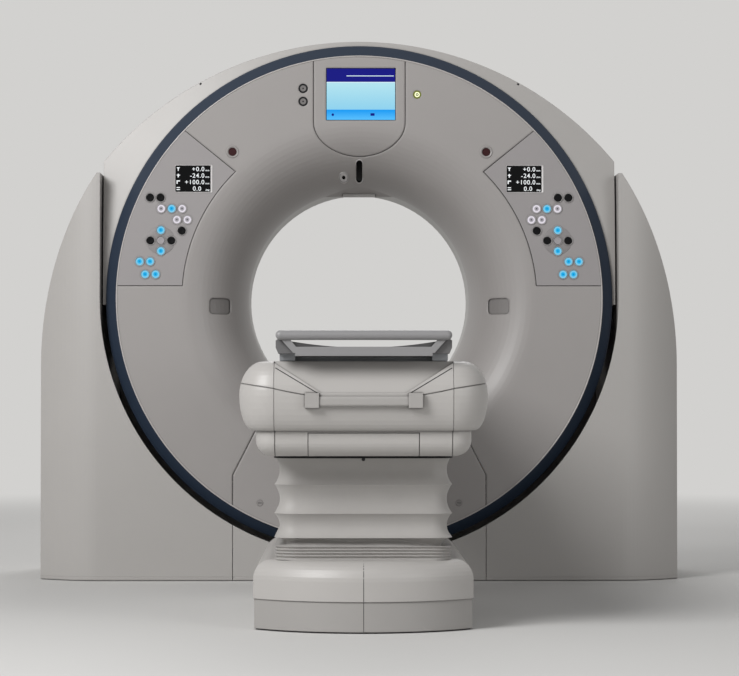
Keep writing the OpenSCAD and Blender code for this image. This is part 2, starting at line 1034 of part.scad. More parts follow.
// curved parting groove across the end covers
module smile_band() {
  elev_z(foot_y - 5, head_y + 5)
    difference() {
      translate([0, smile_z + smile_r])
        circle(r = smile_r + groove / 2, $fn = 300);
      translate([0, smile_z + smile_r])
        circle(r = smile_r - groove / 2, $fn = 300);
      translate([-500, smile_z + smile_h + 8])
        square([1000, 4000]);
    }
}

// the same groove carried on round a side cover, rising from the seam
module side_band() {
  elev_z(foot_y - 5, head_y + 5)
    polygon([[seam_x - 1, smile_seam - groove / 2], [side_w + 5, smile_seam + smile_rise - groove / 2],
      [side_w + 5, smile_seam + smile_rise + groove / 2], [seam_x - 1, smile_seam + groove / 2]]);
}

module couch_side_right() {
  color("WhiteSmoke")
    difference() {
      couch_side_run(couch_prof(0), 0);
      couch_hollow(couch_skin);
      difference() {
        side_band();
        couch_hollow(groove_d);
      }
    }
}

module couch_side_left() {
  mirror([1, 0, 0])
    couch_side_right();
}

module foot_cover() {
  w = seam_x - seam / 2;
  y0 = foot_y + bulge;
  color("WhiteSmoke")
    difference() {
      couch_end_run(couch_prof(0), w, y0, 1);
      side(-w + couch_skin, w - couch_skin)
        polygon([for (v = concat([[-end_in - 1, top_z - couch_skin]], couch_prof(end_skin),
          [[-end_in - 1, ledge_z + couch_skin]])) [y0 - v[0], v[1]]]);
      difference() {
        smile_band();
        couch_end_run(couch_prof(groove_d), w + 1, y0, 1);
      }
      intersection() {
        elev_z(foot_y - 10, y0)
          polygon([[-w - 1, top_z + 1], [-w - 1, top_z - 4], [-scoop_w, grip_top], [scoop_w, grip_top],
            [w + 1, top_z - 4], [w + 1, top_z + 1]]);
        side(-w - 1, w + 1)
          polygon([[y0 - flat_r + 2, top_z], [foot_y + 12, grip_top], [foot_y - 20, grip_top],
            [foot_y - 20, top_z + 2], [y0 - flat_r + 2, top_z + 2]]);
      }
      pair()
        box([grip_in, foot_y - 30, grip_low], [grip_out, foot_y + 6, grip_top]);
    }
}

module foot_handle() {
  color("Gainsboro") {
    pair()
      box([grip_in, foot_y - 20, grip_low], [grip_out, foot_y + 6, grip_top]);
    side(-grip_in - 1, grip_in + 1)
      polygon(concat(arc(foot_y - handle_y, handle_z + handle_t, handle_t, 0, 180, 8),
        arc(foot_y - handle_y, handle_z - handle_t, handle_t, 180, 360, 8)));
  }
}

module head_cover() {
  w = seam_x - seam / 2;
  y0 = head_y - bulge;
  color("WhiteSmoke")
    difference() {
      couch_end_run(couch_prof(0), w, y0, -1);
      side(-w + couch_skin, w - couch_skin)
        polygon([for (v = concat([[-end_in - 1, top_z - couch_skin]], couch_prof(couch_skin),
          [[-end_in - 1, ledge_z + couch_skin]])) [y0 + v[0], v[1]]]);
      difference() {
        smile_band();
        couch_end_run(couch_prof(groove_d), w + 1, y0, -1);
      }
    }
}

module tray_solid(d) {
  p = tray_prof(d);
  pair()
    couch_side_run(p, 0);
  side(-seam_x, seam_x)
    polygon([for (v = p) [foot_y + bulge - v[0], v[1]]]);
  side(-seam_x, seam_x)
    polygon(concat([[foot_y + bulge - p[0][0], ledge_z]], [for (v = p) [foot_y + bulge - v[0], v[1]]],
      [for (i = [0 : len(p) - 1]) [head_y - bulge + p[len(p) - 1 - i][0], p[len(p) - 1 - i][1]]]));
}

// layer of the lower cover's foot end, half width w, from z down and between two offsets inside its face
module tray_layer(w, z, d0, d1) {
  p = tray_prof(d1, z);
  n = len(p) - 1;
  side(-w, w)
    polygon([for (v = concat(tray_prof(d0, z), [for (i = [0 : n]) p[n - i]])) [foot_y + bulge - v[0], v[1]]]);
}

module couch_lower_cover() {
  color("WhiteSmoke")
    difference() {
      tray_solid(0);
      tray_solid(shell_t);
      box([-150, col_y - 190, under_z - 1], [150, col_y + 190, under_z + 10]);
      tray_layer(hatch_w / 2, hatch_z, -1, hatch_d);
      pair()
        difference() {
          box([seam_x - 1 - seam, foot_y, under_z - 1], [seam_x - 1, foot_y + bulge, ledge_z + 1]);
          tray_solid(groove_d);
        }
    }
}

module foot_hatch() {
  color("Gainsboro")
    tray_layer(hatch_w / 2 - seam, hatch_z - seam, 0, hatch_d);
}

module couch_deck() {
  color("Silver")
    box([-seam_x, foot_y + bulge + end_in, top_z - deck_t], [seam_x, head_y - bulge - end_in, top_z]);
}

module couch_frame() {
  z0 = under_z + shell_t;
  z1 = z0 + web_t;
  z2 = top_z - deck_t;
  y0 = foot_y + web_end;
  y1 = head_y - web_end;
  color("Gray") {
    pair()
      box([web_in, y0, z1], [web_out, y1, z2]);
    box([-web_out, y0, z0], [web_out, y1, z1]);
    for (y = [y0 + 2 * rib_t, col_y - rib_y, col_y + rib_y, y1 - 3 * rib_t])
      box([-web_in, y, z1], [web_in, y + rib_t, z2]);
  }
}

module tube_z(hx, hy, t, z0, z1) {
  difference() {
    box([-hx, col_y - hy, z0], [hx, col_y + hy, z1]);
    box([-hx + t, col_y - hy + t, z0 - 1], [hx - t, col_y + hy - t, z1 + 1]);
  }
}

module column_inner() {
  color("Silver")
    tube_z(col_w / 2 - 2 * stage_t, col_l / 2 - 2 * stage_t, col_t, under_z + 8 - stage_l, under_z + 8);
}

module column_mid() {
  color("DarkGray")
    tube_z(col_w / 2 - stage_t, col_l / 2 - stage_t, col_t, mid_z, mid_z + stage_l);
}

module column_outer() {
  color("Gray")
    tube_z(col_w / 2, col_l / 2, col_t, plate_t, plate_t + stage_l);
}

module lift_drive() {
  color("RoyalBlue") {
    box([-60, col_y + 190, plate_t], [60, col_y + 330, plate_t + 60]);
    translate([0, col_y + 260, plate_t + 60])
      cylinder(r = 48, h = 80);
    box([-40, col_y + col_l / 2, plate_t], [40, col_y + 190, plate_t + 40]);
  }
}

module couch_base_plate() {
  w = base_w / 2 - 8;
  color("DimGray")
    difference() {
      union() {
        box([-w, base_y + 20, 0], [w, base_y + base_l - 8, plate_t]);
        box([-tie_half_w, base_y + base_l - 9, 0], [tie_half_w, -stand_half_d + 60, tie_z]);
      }
      for (s = [-1, 1])
        for (y = [base_y + 80, base_y + base_l - 80])
          translate([s * 220, y, -1])
            cylinder(r = 9, h = plate_t + 2);
    }
}

// plan of the base with straight sides and a bowed foot end
module base_run(p, y1) {
  d = base_w / 2 - p[0][0];
  ax = base_y - base_bow + base_r;
  q = concat(p, [[0, p[len(p) - 1][1]], [0, p[0][1]]]);
  intersection() {
    pair()
      elev_z(base_y - base_bow - 20, ax)
        polygon(q);
    translate([0, ax, 0])
      rotate_extrude($fn = 240)
        polygon([for (v = q) [v[0] == 0 ? 0 : v[0] - base_w / 2 + base_r, v[1]]]);
  }
  pair()
    elev_z(ax - 0.01, y1)
      polygon(q);
}

function base_prof(d) = concat([[base_w / 2 - d, base_seam_z]],
  [for (i = [0 : 8]) let (a = 90 * i / 8) [base_w / 2 - base_sh + (base_sh - d) * cos(a),
    base_z - base_sh + (base_sh - d) * sin(a)]]);

module base_cover() {
  color("WhiteSmoke")
    difference() {
      base_run(base_prof(0), base_y + base_l);
      translate([0, 0, -0.01])
        base_run(base_prof(5), base_y + base_l - 5);
      box([-175, col_y - 230, base_seam_z], [175, col_y + 340, base_z + 1]);
    }
}

module base_skirt() {
  color("Gainsboro")
    difference() {
      base_run([[base_w / 2 - 3, 4], [base_w / 2 - 3, base_seam_z]], base_y + base_l - 3);
      base_run([[base_w / 2 - 8, 3], [base_w / 2 - 8, base_seam_z + 1]], base_y + base_l - 8);
      box([-tie_half_w - 2, base_y + base_l - 30, -1], [tie_half_w + 2, base_y + base_l + 10, tie_z + 2]);
    }
}

// fold profile as [distance inside the ridge line, z], from the top down
function folds() = concat(
  [for (k = [0 : 2]) each [for (i = [0 : 7]) [fold_d * sin(180 * i / 8),
    under_z - fold_at[k] - (fold_at[k + 1] - fold_at[k]) * i / 8]]],
  [for (k = [0 : 7]) [k % 2 == 0 ? 0 : fold_d - 4, under_z - fold_at[3] - fold_low * k / 8]],
  [[0, base_z]]);

module bellows() {
  f = folds();
  n = len(f);
  rc = 60;
  hx = bellows_w / 2 - rc;
  hy = bellows_l / 2 - rc;
  yc = bel_y + bellows_l / 2;
  p = concat([for (v = f) [rc - v[0], v[1]]], [for (i = [0 : n - 1]) [rc - f[n - 1 - i][0] - 4,
    f[n - 1 - i][1]]]);
  color("DarkGray") {
    pair()
      elev_z(yc - hy, yc + hy)
        polygon([for (v = p) [hx + v[0], v[1]]]);
    for (s = [-1, 1])
      side(-hx, hx)
        polygon([for (v = p) [yc + s * (hy + v[0]), v[1]]]);
    for (c = [[1, -1, -90], [1, 1, 0], [-1, 1, 90], [-1, -1, 180]])
      translate([c[0] * hx, yc + c[1] * hy, 0])
        rotate([0, 0, c[2]])
          rotate_extrude(angle = 90)
            polygon(p);
  }
}

module table_carriage() {
  y0 = foot_y + 130;
  y1 = head_y - 60;
  color("Silver") {
    box([-rail_out, y0, top_z], [rail_out, y1, rail_z]);
    pair()
      box([rail_out - rail_w, y0 - 60, rail_z], [rail_out, y1, table_z]);
    pair()
      box([rail_out - rail_w, y0 - 60, top_z + 2], [rail_out, y0 + 1, rail_z]);
  }
}

module table_top() {
  h = table_w / 2;
  n = 24;
  color("DarkSlateGray")
    elev_z(table_y, table_y + table_l)
      polygon(concat([[-rail_out - 2, table_z], [rail_out + 2, table_z], [h, table_z + 16], [h,
        table_edge_z - 3], [h - 4, table_edge_z]],
        [for (i = [0 : n]) let (x = (h - 12) * (1 - 2 * i / n)) [x,
          table_z + 16 + (table_edge_z - table_z - 16) * x * x / (h - 12) / (h - 12)]],
        [[-h + 4, table_edge_z], [-h, table_edge_z - 3], [-h, table_z + 16]]));
}

module grip_plate() {
  h = table_w / 2;
  b = h - grip_slant;
  n = rail_out - rail_w - rail_gap;
  low = table_z + rail_gap;
  hold_z = grip_z - grip_r;
  color("DarkSlateGray")
    difference() {
      union() {
        elev_z(table_y - sheet_t, table_y)
          polygon([[-b, low], [-n, low], [-n, rail_z + rail_gap], [n, rail_z + rail_gap], [n, low], [b, low],
            [h - 4, grip_z], [-h + 4, grip_z]]);
        rod_x(-h + grip_r, h - grip_r, grip_r, table_y - grip_r, grip_z);
        pair()
          translate([h - grip_r, table_y - grip_r, grip_z])
            sphere(r = grip_r);
      }
      elev_z(table_y - sheet_t - 26, table_y + 1)
        polygon([[-b + 8, hold_z - hold_h], [b - 8, hold_z - hold_h], [h - 40, hold_z], [-h + 40, hold_z]]);
    }
}

stand_frame();
tilt_bearings();
tilt_gearmotor();
stand_cover_left();
stand_cover_right();
kick_panel();
rear_skirt();
tilt_frame();
bearing_outer();
motor_stator();
brush_block();
front_cover();
front_lower_cover();
ring_trim();
crown_cover();
belly_cover();
rear_cover();
bore_liner();
monitor_panel();
control_panel_left();
control_panel_right();
screens();
keys_blue();
keys_white();
keys_dark();
stop_left();
stop_right();
laser_housing();
laser_windows();
lamps();
rotor_frame();
bearing_inner();
magnet_ring();
slip_ring();
xray_tube();
collimator();
detector_array();
hv_units();
heat_exchanger();
counterweights();
couch_base_plate();
base_skirt();
base_cover();
column_outer();
lift_drive();
bellows();
column_mid();
column_inner();
couch_frame();
couch_side_left();
couch_side_right();
foot_cover();
foot_handle();
head_cover();
couch_lower_cover();
foot_hatch();
couch_deck();
table_carriage();
table_top();
grip_plate();
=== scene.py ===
import math

import bmesh
import bpy
from bpy.props import FloatProperty, FloatVectorProperty, PointerProperty
from mathutils import Matrix, Vector
from mathutils.bvhtree import BVHTree


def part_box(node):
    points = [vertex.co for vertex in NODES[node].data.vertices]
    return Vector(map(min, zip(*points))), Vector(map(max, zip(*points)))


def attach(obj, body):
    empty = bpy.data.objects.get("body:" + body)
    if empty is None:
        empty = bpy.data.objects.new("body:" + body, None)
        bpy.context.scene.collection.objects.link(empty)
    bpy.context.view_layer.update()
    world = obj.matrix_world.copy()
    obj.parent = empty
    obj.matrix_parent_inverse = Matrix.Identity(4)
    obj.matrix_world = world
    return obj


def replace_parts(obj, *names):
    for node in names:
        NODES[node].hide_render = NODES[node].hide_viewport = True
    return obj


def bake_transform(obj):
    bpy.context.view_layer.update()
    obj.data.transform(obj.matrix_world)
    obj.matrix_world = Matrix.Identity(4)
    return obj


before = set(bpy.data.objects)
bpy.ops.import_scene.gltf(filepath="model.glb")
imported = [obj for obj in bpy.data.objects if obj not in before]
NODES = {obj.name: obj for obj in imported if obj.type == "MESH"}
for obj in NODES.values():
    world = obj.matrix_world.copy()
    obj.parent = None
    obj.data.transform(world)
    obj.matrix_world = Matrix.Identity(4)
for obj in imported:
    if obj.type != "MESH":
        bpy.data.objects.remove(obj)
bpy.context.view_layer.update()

bl_info = {
    "name": "CT scanner",
    "version": (1, 0, 0),
    "blender": (4, 5, 0),
    "location": "3D View > Sidebar > CT scanner",
    "description": "Finishes, displays, keys and bellows of a medical CT scanner",
    "category": "Object",
}

MM = 0.001
# points of a piece that are nearer than this are one, and edges sharper than this stay hard
MERGE = 0.001 * MM
SHARP_ANGLE = math.radians(35)
# the photograph's frame and the line that the camera looks along, in its pixels
PHOTO_W = 739
PHOTO_H = 676
PHOTO_AXIS = (344.0, 390.0)
SENSOR_MM = 36.0
PLASTIC_IOR = 1.53
FILM_IOR = 1.58
GLASS_IOR = 1.5
# what the textures of all materials share
CLOUD_DETAIL = 4.0
GRAIN_DETAIL = 2.0
GRAIN_STRENGTH = 0.35
# share of the colour that is left where painted shade darkens seams, corners and hollows
PAINTED_SHADE_TONE = 0.05
EDGE_SAMPLES = 6
# radians that Blender's wave texture turns over one unit of scale
WAVE_TURN = 20
EVEN_LAY = (1, 1, 1)
# the floor takes the background's tone between these distances from the axis
FLOOR_NEAR = 3.2
FLOOR_FAR = 8.0
SIDES = (-1, 1)
RING_SEGMENTS = 240
# windows further out than this are the two beside the bore
SIDE_X = 0.3


def linear(hex_colour):
    """An sRGB hex colour as linear RGBA."""
    channels = [int(hex_colour[i:i + 2], 16) / 255 for i in (1, 3, 5)]
    return tuple(c / 12.92 if c <= 0.04045 else ((c + 0.055) / 1.055) ** 2.4 for c in channels) + (1.0,)


def colour_prop(name, description, hex_colour):
    return FloatVectorProperty(name=name, description=description, subtype="COLOR", size=4, min=0, max=1,
                               default=linear(hex_colour))


def length_prop(name, description, mm, low=0):
    """A length that is given in millimetres."""
    return FloatProperty(name=name, description=description, default=mm * MM, min=low * MM, unit="LENGTH")


class ScannerColours(bpy.types.PropertyGroup):
    """Colours of the scanner's finishes"""
    covers: colour_prop("Covers", "Stand, crown and couch covers", "#ABA8A5")
    disc: colour_prop("Disc", "Front and rear discs with their bell mouths", "#9B9795")
    film: colour_prop("Control film", "Printed film of the control panels", "#949090")
    ring: colour_prop("Ring", "Trim ring round the disc", "#2A3443")
    liner: colour_prop("Bore liner", "Liner of the bore and laser housing", "#ABA9A6")
    bellows: colour_prop("Bellows", "Coated cloth of the bellows", "#A09D9A")
    collar: colour_prop("Collars", "Collars of the keys and displays", "#CBC8C7")
    lit: colour_prop("Lit keys", "Lamps under the lit keys", "#12B4F1")
    lit_rim: colour_prop("Lit key rims", "Pale rim of the lit keys", "#7ECBEB")
    pale: colour_prop("Pale keys", "Rims of the pale keys", "#E2DDE6")
    dark: colour_prop("Dark keys", "Caps of the unlit keys", "#0E0E10")
    stop: colour_prop("Stop buttons", "Stop buttons", "#30090D")
    power: colour_prop("Power lamp", "Ring of the power lamp", "#F0F5C4")
    table: colour_prop("Table top", "Clear-coated carbon laminate", "#2B2C2F")
    grip: colour_prop("Grip", "Grip bar and its plate", "#868586")
    floor: colour_prop("Floor", "Studio floor and background", "#D2D1CF")


class ScannerSizes(bpy.types.PropertyGroup):
    """Sizes of the pieces that are modelled here"""
    edge: length_prop("Edge radius", "Rounding of the moulded edges", 3)
    # reach of the painted shade that darkens the colour in seams, corners and hollows
    seam: length_prop("Seam shade", "How near a seam its shade begins", 7)
    fold: length_prop("Fold depth", "Depth of the large bellows folds", 15)
    slack: length_prop("Slack", "How far the lowest loose fold of the bellows sags", 8)
    digit: length_prop("Digit height", "Height of the digits on the small displays", 17)
    plate: length_prop("Direction plate", "Radius of the round plate under the direction keys", 48)
    plug: length_prop("Plug", "Radius of the plugs in the crown's lifting points", 4)
    plug_x: length_prop("Plug offset", "Plugs to either side of the bore axis", 550)
    plug_rise: length_prop("Plug height", "Plugs above the bore axis", 745)
    joint_out: length_prop("Joint, outer end", "Joints of the foot cover's scoop, at the top", 236)
    joint_in: length_prop("Joint, inner end", "Joints of the foot cover's scoop, at the handle", 119)
    lens: length_prop("Lens opening", "Radius of the opening for the camera lens", 14.2)
    lip: length_prop("Ring lip", "How far the ring's soft lip reaches past its edge", 5)
    lip_edge: length_prop("Lip depth", "Depth of the ring's outer edge, where the lip begins", 12)
    bead: length_prop("Bead", "Radius of the bead round the disc", 2.6)
    floor_gap: length_prop("Floor gap", "Height of the stand's skirting above the floor", 2)
    fastener: length_prop("Fastener", "Radius of the quarter-turn fasteners", 11)
    fastener_x: length_prop("Fastener offset", "Fasteners to either side of the bore axis", 342)
    fastener_drop: length_prop("Fastener drop", "Fasteners below the bore axis", 703)
    camera_y: length_prop("Camera distance", "Distance of the camera from the axis plane", 9800)
    camera_z: length_prop("Camera height", "Height of the camera above the floor", 655)
    camera_x: length_prop("Camera offset", "Camera to the right of the bore axis", -53, -1000)
    focal: FloatProperty(name="Focal length", description="Focal length in pixels of the photograph's frame",
                         default=2727.0, min=100)


def colours():
    return bpy.context.scene.scanner_colours


def sizes():
    return bpy.context.scene.scanner_sizes


# Node and mesh helpers

def add(tree, kind, sockets=None, **settings):
    """Add one node: settings are its attributes, sockets its inputs, each a value or a node's output."""
    node = tree.nodes.new(kind)
    for name, value in settings.items():
        setattr(node, name, value)
    for key, value in (sockets or {}).items():
        if isinstance(value, bpy.types.NodeSocket):
            tree.links.new(value, node.inputs[key])
        else:
            node.inputs[key].default_value = value
    return node


def blank(name, kind="materials"):
    """A new material, or a world, and its node tree, which is empty."""
    owner = getattr(bpy.data, kind).new(name)
    owner.use_nodes = True
    owner.node_tree.nodes.clear()
    return owner, owner.node_tree


def close(tree, shader, kind="Material"):
    add(tree, "ShaderNodeOutput" + kind, {"Surface": shader.outputs[0]})


def principled(tree, sockets):
    """Close a material with one principled surface."""
    close(tree, add(tree, "ShaderNodeBsdfPrincipled", sockets))


def place_on(tree):
    """The position on the object, in metres."""
    return add(tree, "ShaderNodeTexCoord").outputs["Object"]


def mixed(tree, factor, low, high):
    """A colour between two others."""
    return add(tree, "ShaderNodeMix", {0: factor, 6: low, 7: high}, data_type="RGBA").outputs[2]


def shade(colour, factor):
    return tuple(min(1.0, c * factor) for c in colour[:3]) + (1.0,)


def per_mm(size):
    """Texture scale for a pattern of this size in millimetres."""
    return 1 / (size * MM)


def noise(tree, place, size_mm, detail):
    """A cloudy pattern of this size."""
    sockets = {"Vector": place, "Scale": per_mm(size_mm), "Detail": detail}
    return add(tree, "ShaderNodeTexNoise", sockets).outputs["Fac"]


def relief(tree, height, strength, depth_mm, **under):
    """The normal of a pattern in relief, on top of another normal where one is given."""
    sockets = {"Height": height, "Strength": strength, "Distance": depth_mm * MM, **under}
    return add(tree, "ShaderNodeBump", sockets).outputs["Normal"]


def eased(tree, radius):
    """The normal of a surface with rounded edges."""
    return add(tree, "ShaderNodeBevel", {"Radius": radius}, samples=EDGE_SAMPLES).outputs["Normal"]


def textured(tree, colour, cloud_mm, spread, grain_mm, depth_mm, edge=0.0):
    """A colour that drifts, with painted shade in seams and hollows, the normal of a fine grain, and the
    drift.
    """
    place = place_on(tree)
    cloud = noise(tree, place, cloud_mm, CLOUD_DETAIL)
    tone = mixed(tree, cloud, shade(colour, 1 - spread), shade(colour, 1 + spread))
    under = {}
    if edge:
        under["Normal"] = eased(tree, edge)
        # painted shade: ambient occlusion darkens the colour in seams, corners and hollows, wherever edges
        # are rounded
        painted_shade = add(tree, "ShaderNodeAmbientOcclusion", {"Distance": sizes().seam}, samples=EDGE_SAMPLES)
        tone = mixed(tree, painted_shade.outputs["AO"], shade(colour, PAINTED_SHADE_TONE), tone)
    grain = noise(tree, place, grain_mm, GRAIN_DETAIL)
    return tone, relief(tree, grain, GRAIN_STRENGTH, depth_mm, **under), cloud


def varied(tree, fac, low, high):
    """A value that follows a pattern between two limits."""
    return add(tree, "ShaderNodeMapRange", {"Value": fac, "To Min": low, "To Max": high}).outputs["Result"]


# Materials

def finish(name, colour, rough, sockets, **texture):
    """A textured surface whose roughness follows the drift of its colour between two limits."""
    material, tree = blank(name)
    tone, normal, cloud = textured(tree, colour, **texture)
    principled(tree, {"Base Color": tone, "Roughness": varied(tree, cloud, *rough), "Normal": normal,
                      **sockets})
    return material


def moulded_abs(name, colour, edge=1.0):
    """Injection-moulded ABS with a satin skin: broad soft highlights and a faint flow cloudiness."""
    return finish(name, colour, (0.36, 0.46), {"IOR": PLASTIC_IOR}, cloud_mm=260, spread=0.025, grain_mm=4,
                  depth_mm=0.25, edge=edge * sizes().edge)


def printed_film(name, colour):
    """Screen-printed polycarbonate film with a fine velvet texture, a little darker than the mouldings."""
    return finish(name, colour, (0.48, 0.56), {"IOR": FILM_IOR}, cloud_mm=90, spread=0.02, grain_mm=2.5,
                  depth_mm=0.12, edge=0.6 * MM)


def two_pack_paint(name, colour, edge):
    """Sprayed two-pack polyurethane: a slight orange peel under an even semi-gloss."""
    return finish(name, colour, (0.3, 0.38), {"IOR": PLASTIC_IOR, "Specular IOR Level": 0.3}, cloud_mm=180,
                  spread=0.04, grain_mm=6, depth_mm=0.3, edge=edge)


def powder_coat(name, colour):
    """Powder-coated steel: a pebbled texture that breaks up the highlight."""
    return finish(name, colour, (0.45, 0.58), {}, cloud_mm=120, spread=0.05, grain_mm=5, depth_mm=0.6,
                  edge=1.5 * MM)


def gloss_plastic(name, colour, roughness, mirror=0.5):
    """Polished acrylic or polycarbonate: deep colour under a sharp highlight, weaker where it is coated."""
    return finish(name, colour, (roughness, roughness + 0.05),
                  {"IOR": GLASS_IOR, "Specular IOR Level": mirror}, cloud_mm=40, spread=0.04, grain_mm=8,
                  depth_mm=0.04, edge=0.8 * MM)


def bare_metal(name, colour, roughness, lay):
    """Machined or drawn metal: fine tool marks along one direction, lay, that stretch the highlight."""
    material, tree = blank(name)
    stretched = add(tree, "ShaderNodeMapping", {"Vector": place_on(tree), "Scale": lay})
    marks = noise(tree, stretched.outputs["Vector"], 5, 3.0)
    tone = mixed(tree, marks, shade(colour, 0.9), shade(colour, 1.06))
    principled(tree, {
        "Base Color": tone, "Metallic": 1.0,
        "Roughness": varied(tree, marks, roughness - 0.06, roughness + 0.06),
        "Normal": relief(tree, marks, 0.2, 0.2)})
    return material


def carbon_laminate(name, colour):
    """Clear-coated carbon laminate: a twill whose tows catch the light in turn, under a glossy coat."""
    material, tree = blank(name)
    askew = add(tree, "ShaderNodeMapping", {"Vector": place_on(tree), "Rotation": (0, 0, math.radians(45))})
    # 8 mm for each radian of the wave: the tows are drawn wide so that they show
    wave = {"Vector": askew.outputs["Vector"], "Scale": per_mm(8) / WAVE_TURN, "Distortion": 0.4}
    tows = add(tree, "ShaderNodeTexWave", wave).outputs["Fac"]
    # painted sheen: the tows are drawn lighter and darker in the colour, as if they caught the light in turn
    tone = mixed(tree, tows, shade(colour, 0.86), shade(colour, 1.16))
    principled(tree, {
        "Base Color": tone, "Roughness": varied(tree, tows, 0.36, 0.42), "IOR": PLASTIC_IOR,
        "Coat Weight": 0.6, "Coat Roughness": 0.12,
        "Normal": relief(tree, tows, 0.05, 0.2, Normal=eased(tree, 2 * MM))})
    return material


def coated_cloth(name, colour):
    """Polyurethane-coated polyester: a soft sheen, the weave just telling through the coating."""
    material, tree = blank(name)
    # 3 mm for each radian of the wave: the threads are drawn coarse so that they show
    wave = {"Vector": place_on(tree), "Scale": per_mm(3) / WAVE_TURN, "Distortion": 0.6}
    warp, weft = (add(tree, "ShaderNodeTexWave", wave, bands_direction=axis).outputs["Fac"]
                  for axis in ("X", "Z"))
    weave = add(tree, "ShaderNodeMath", {0: warp, 1: weft}, operation="ADD").outputs[0]
    tone, normal, cloud = textured(tree, colour, cloud_mm=60, spread=0.06, grain_mm=12, depth_mm=0.5)
    principled(tree, {
        "Base Color": tone, "Roughness": varied(tree, cloud, 0.5, 0.62), "IOR": GLASS_IOR,
        "Sheen Weight": 0.15, "Normal": relief(tree, weave, 0.1, 0.2, Normal=normal)})
    return material


def lit_plastic(name, colour, strength):
    """Diffusing silicone or glass with a lamp behind it: an even glow that falls a little at the sides."""
    material, tree = blank(name)
    tone, normal, _ = textured(tree, colour, cloud_mm=30, spread=0.05, grain_mm=6, depth_mm=0.05)
    principled(tree, {
        "Base Color": shade(colour, 0.06), "Roughness": 0.4, "IOR": GLASS_IOR, "Specular IOR Level": 0.15,
        "Emission Color": tone, "Emission Strength": strength, "Normal": normal})
    return material


def lit_grade(name, below, above, z0, z1):
    """Liquid-crystal picture that runs from one colour at the height z0 to another at z1."""
    material, tree = blank(name)
    height = add(tree, "ShaderNodeSeparateXYZ", {"Vector": place_on(tree)}).outputs["Z"]
    rise = add(tree, "ShaderNodeMapRange", {"Value": height, "From Min": z0, "From Max": z1})
    tone = mixed(tree, rise.outputs["Result"], below, above)
    principled(tree, {
        "Base Color": shade(below, 0.05), "Roughness": 0.4, "Specular IOR Level": 0.1, "Emission Color": tone,
        "Emission Strength": 1.0})
    return material


def seen_by(tree, *kinds):
    """One for rays of these kinds, and nought for the rest."""
    rays = add(tree, "ShaderNodeLightPath").outputs
    seen, *others = (rays["Is %s Ray" % kind] for kind in kinds)
    for other in others:
        seen = add(tree, "ShaderNodeMath", {0: seen, 1: other}, operation="MAXIMUM").outputs[0]
    return seen


def studio_floor(name, colour):
    """Matt painted studio floor that runs out into the background, and keeps the shadow near the object."""
    material, tree = blank(name)
    reach = add(tree, "ShaderNodeVectorMath", {0: place_on(tree)}, operation="LENGTH").outputs["Value"]
    far = add(tree, "ShaderNodeMapRange", {"Value": reach, "From Min": FLOOR_NEAR, "From Max": FLOOR_FAR},
              interpolation_type="SMOOTHSTEP").outputs["Result"]
    fade = add(tree, "ShaderNodeMath", {0: seen_by(tree, "Camera", "Glossy"), 1: far}, operation="MULTIPLY")
    near = add(tree, "ShaderNodeBsdfPrincipled",
               {"Base Color": colour, "Roughness": 0.9, "Specular IOR Level": 0.05})
    glow = add(tree, "ShaderNodeEmission", {"Color": colour, "Strength": 1.0})
    close(tree, add(tree, "ShaderNodeMixShader",
                    {0: fade.outputs[0], 1: near.outputs[0], 2: glow.outputs[0]}))
    return material


def paint_nodes(material, *names):
    """Give a finish to CAD nodes."""
    for name in names:
        slots = NODES[name].data.materials
        slots.clear()
        slots.append(material)


def paint_faces(name, material, test):
    """Give a second finish to the faces of a CAD node that pass the test."""
    mesh = NODES[name].data
    mesh.materials.append(material)
    for face in mesh.polygons:
        if test(face):
            face.material_index = len(mesh.materials) - 1


def front_of(name, points):
    """For each (x, z) the foremost point of a CAD node on a line along Y, and the normal there."""
    mesh = NODES[name].data
    tree = BVHTree.FromPolygons([v.co for v in mesh.vertices], [p.vertices for p in mesh.polygons])
    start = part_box(name)[0].y - 1
    return [tree.ray_cast(Vector((x, start, z)), Vector((0, 1, 0)))[:2] for x, z in points]


def span(bm, rows, zones=None):
    """Faces between rows of points, each a closed line or one point; zones are materials by band."""
    for band, (a, b) in enumerate(zip(rows, rows[1:])):
        count = max(len(a), len(b))
        for i in range(count):
            j = (i + 1) % count
            corners = [a[i % len(a)], a[j % len(a)], b[j % len(b)], b[i % len(b)]]
            face = bm.faces.new(list(dict.fromkeys(corners)))
            face.material_index = zones[band] if zones else 0


def tube(bm, rows):
    """Faces between rows of points, the last row joined to the first."""
    span(bm, rows + rows[:1])


def strip(bm, name, ends, width, count=16):
    """A thin bar let into the front of a CAD node, from one (x, z) to another."""
    a, b = (Vector(end) for end in ends)
    across = Vector((-(b - a).y, (b - a).x)).normalized() * width / 2
    proud, sunk = 0.25 * MM, -0.4 * MM
    lines = []
    for offset, rise in ((-across, proud), (across, proud), (across, sunk), (-across, sunk)):
        points = [a.lerp(b, i / count) + offset for i in range(count + 1)]
        lines.append([bm.verts.new(place + rise * normal) for place, normal in front_of(name, points)])
    sections = list(zip(*lines))
    span(bm, sections)
    for end in (sections[0], sections[-1]):
        bm.faces.new(end)


def rim(bm, name, height, outline):
    """A low rim on the front of a CAD node; outline gives its (x, z) points at a distance from the hole."""
    rows = []
    for reach, rise in ((0.8 * MM, 0.2 * MM), (2 * MM, height), (3.6 * MM, 0.2 * MM)):
        rows.append([bm.verts.new(place + rise * normal) for place, normal in front_of(name, outline(reach))])
    tube(bm, rows)


def placed(name, data):
    """A new object in the scene."""
    obj = bpy.data.objects.new(name, data)
    bpy.context.scene.collection.objects.link(obj)
    return obj


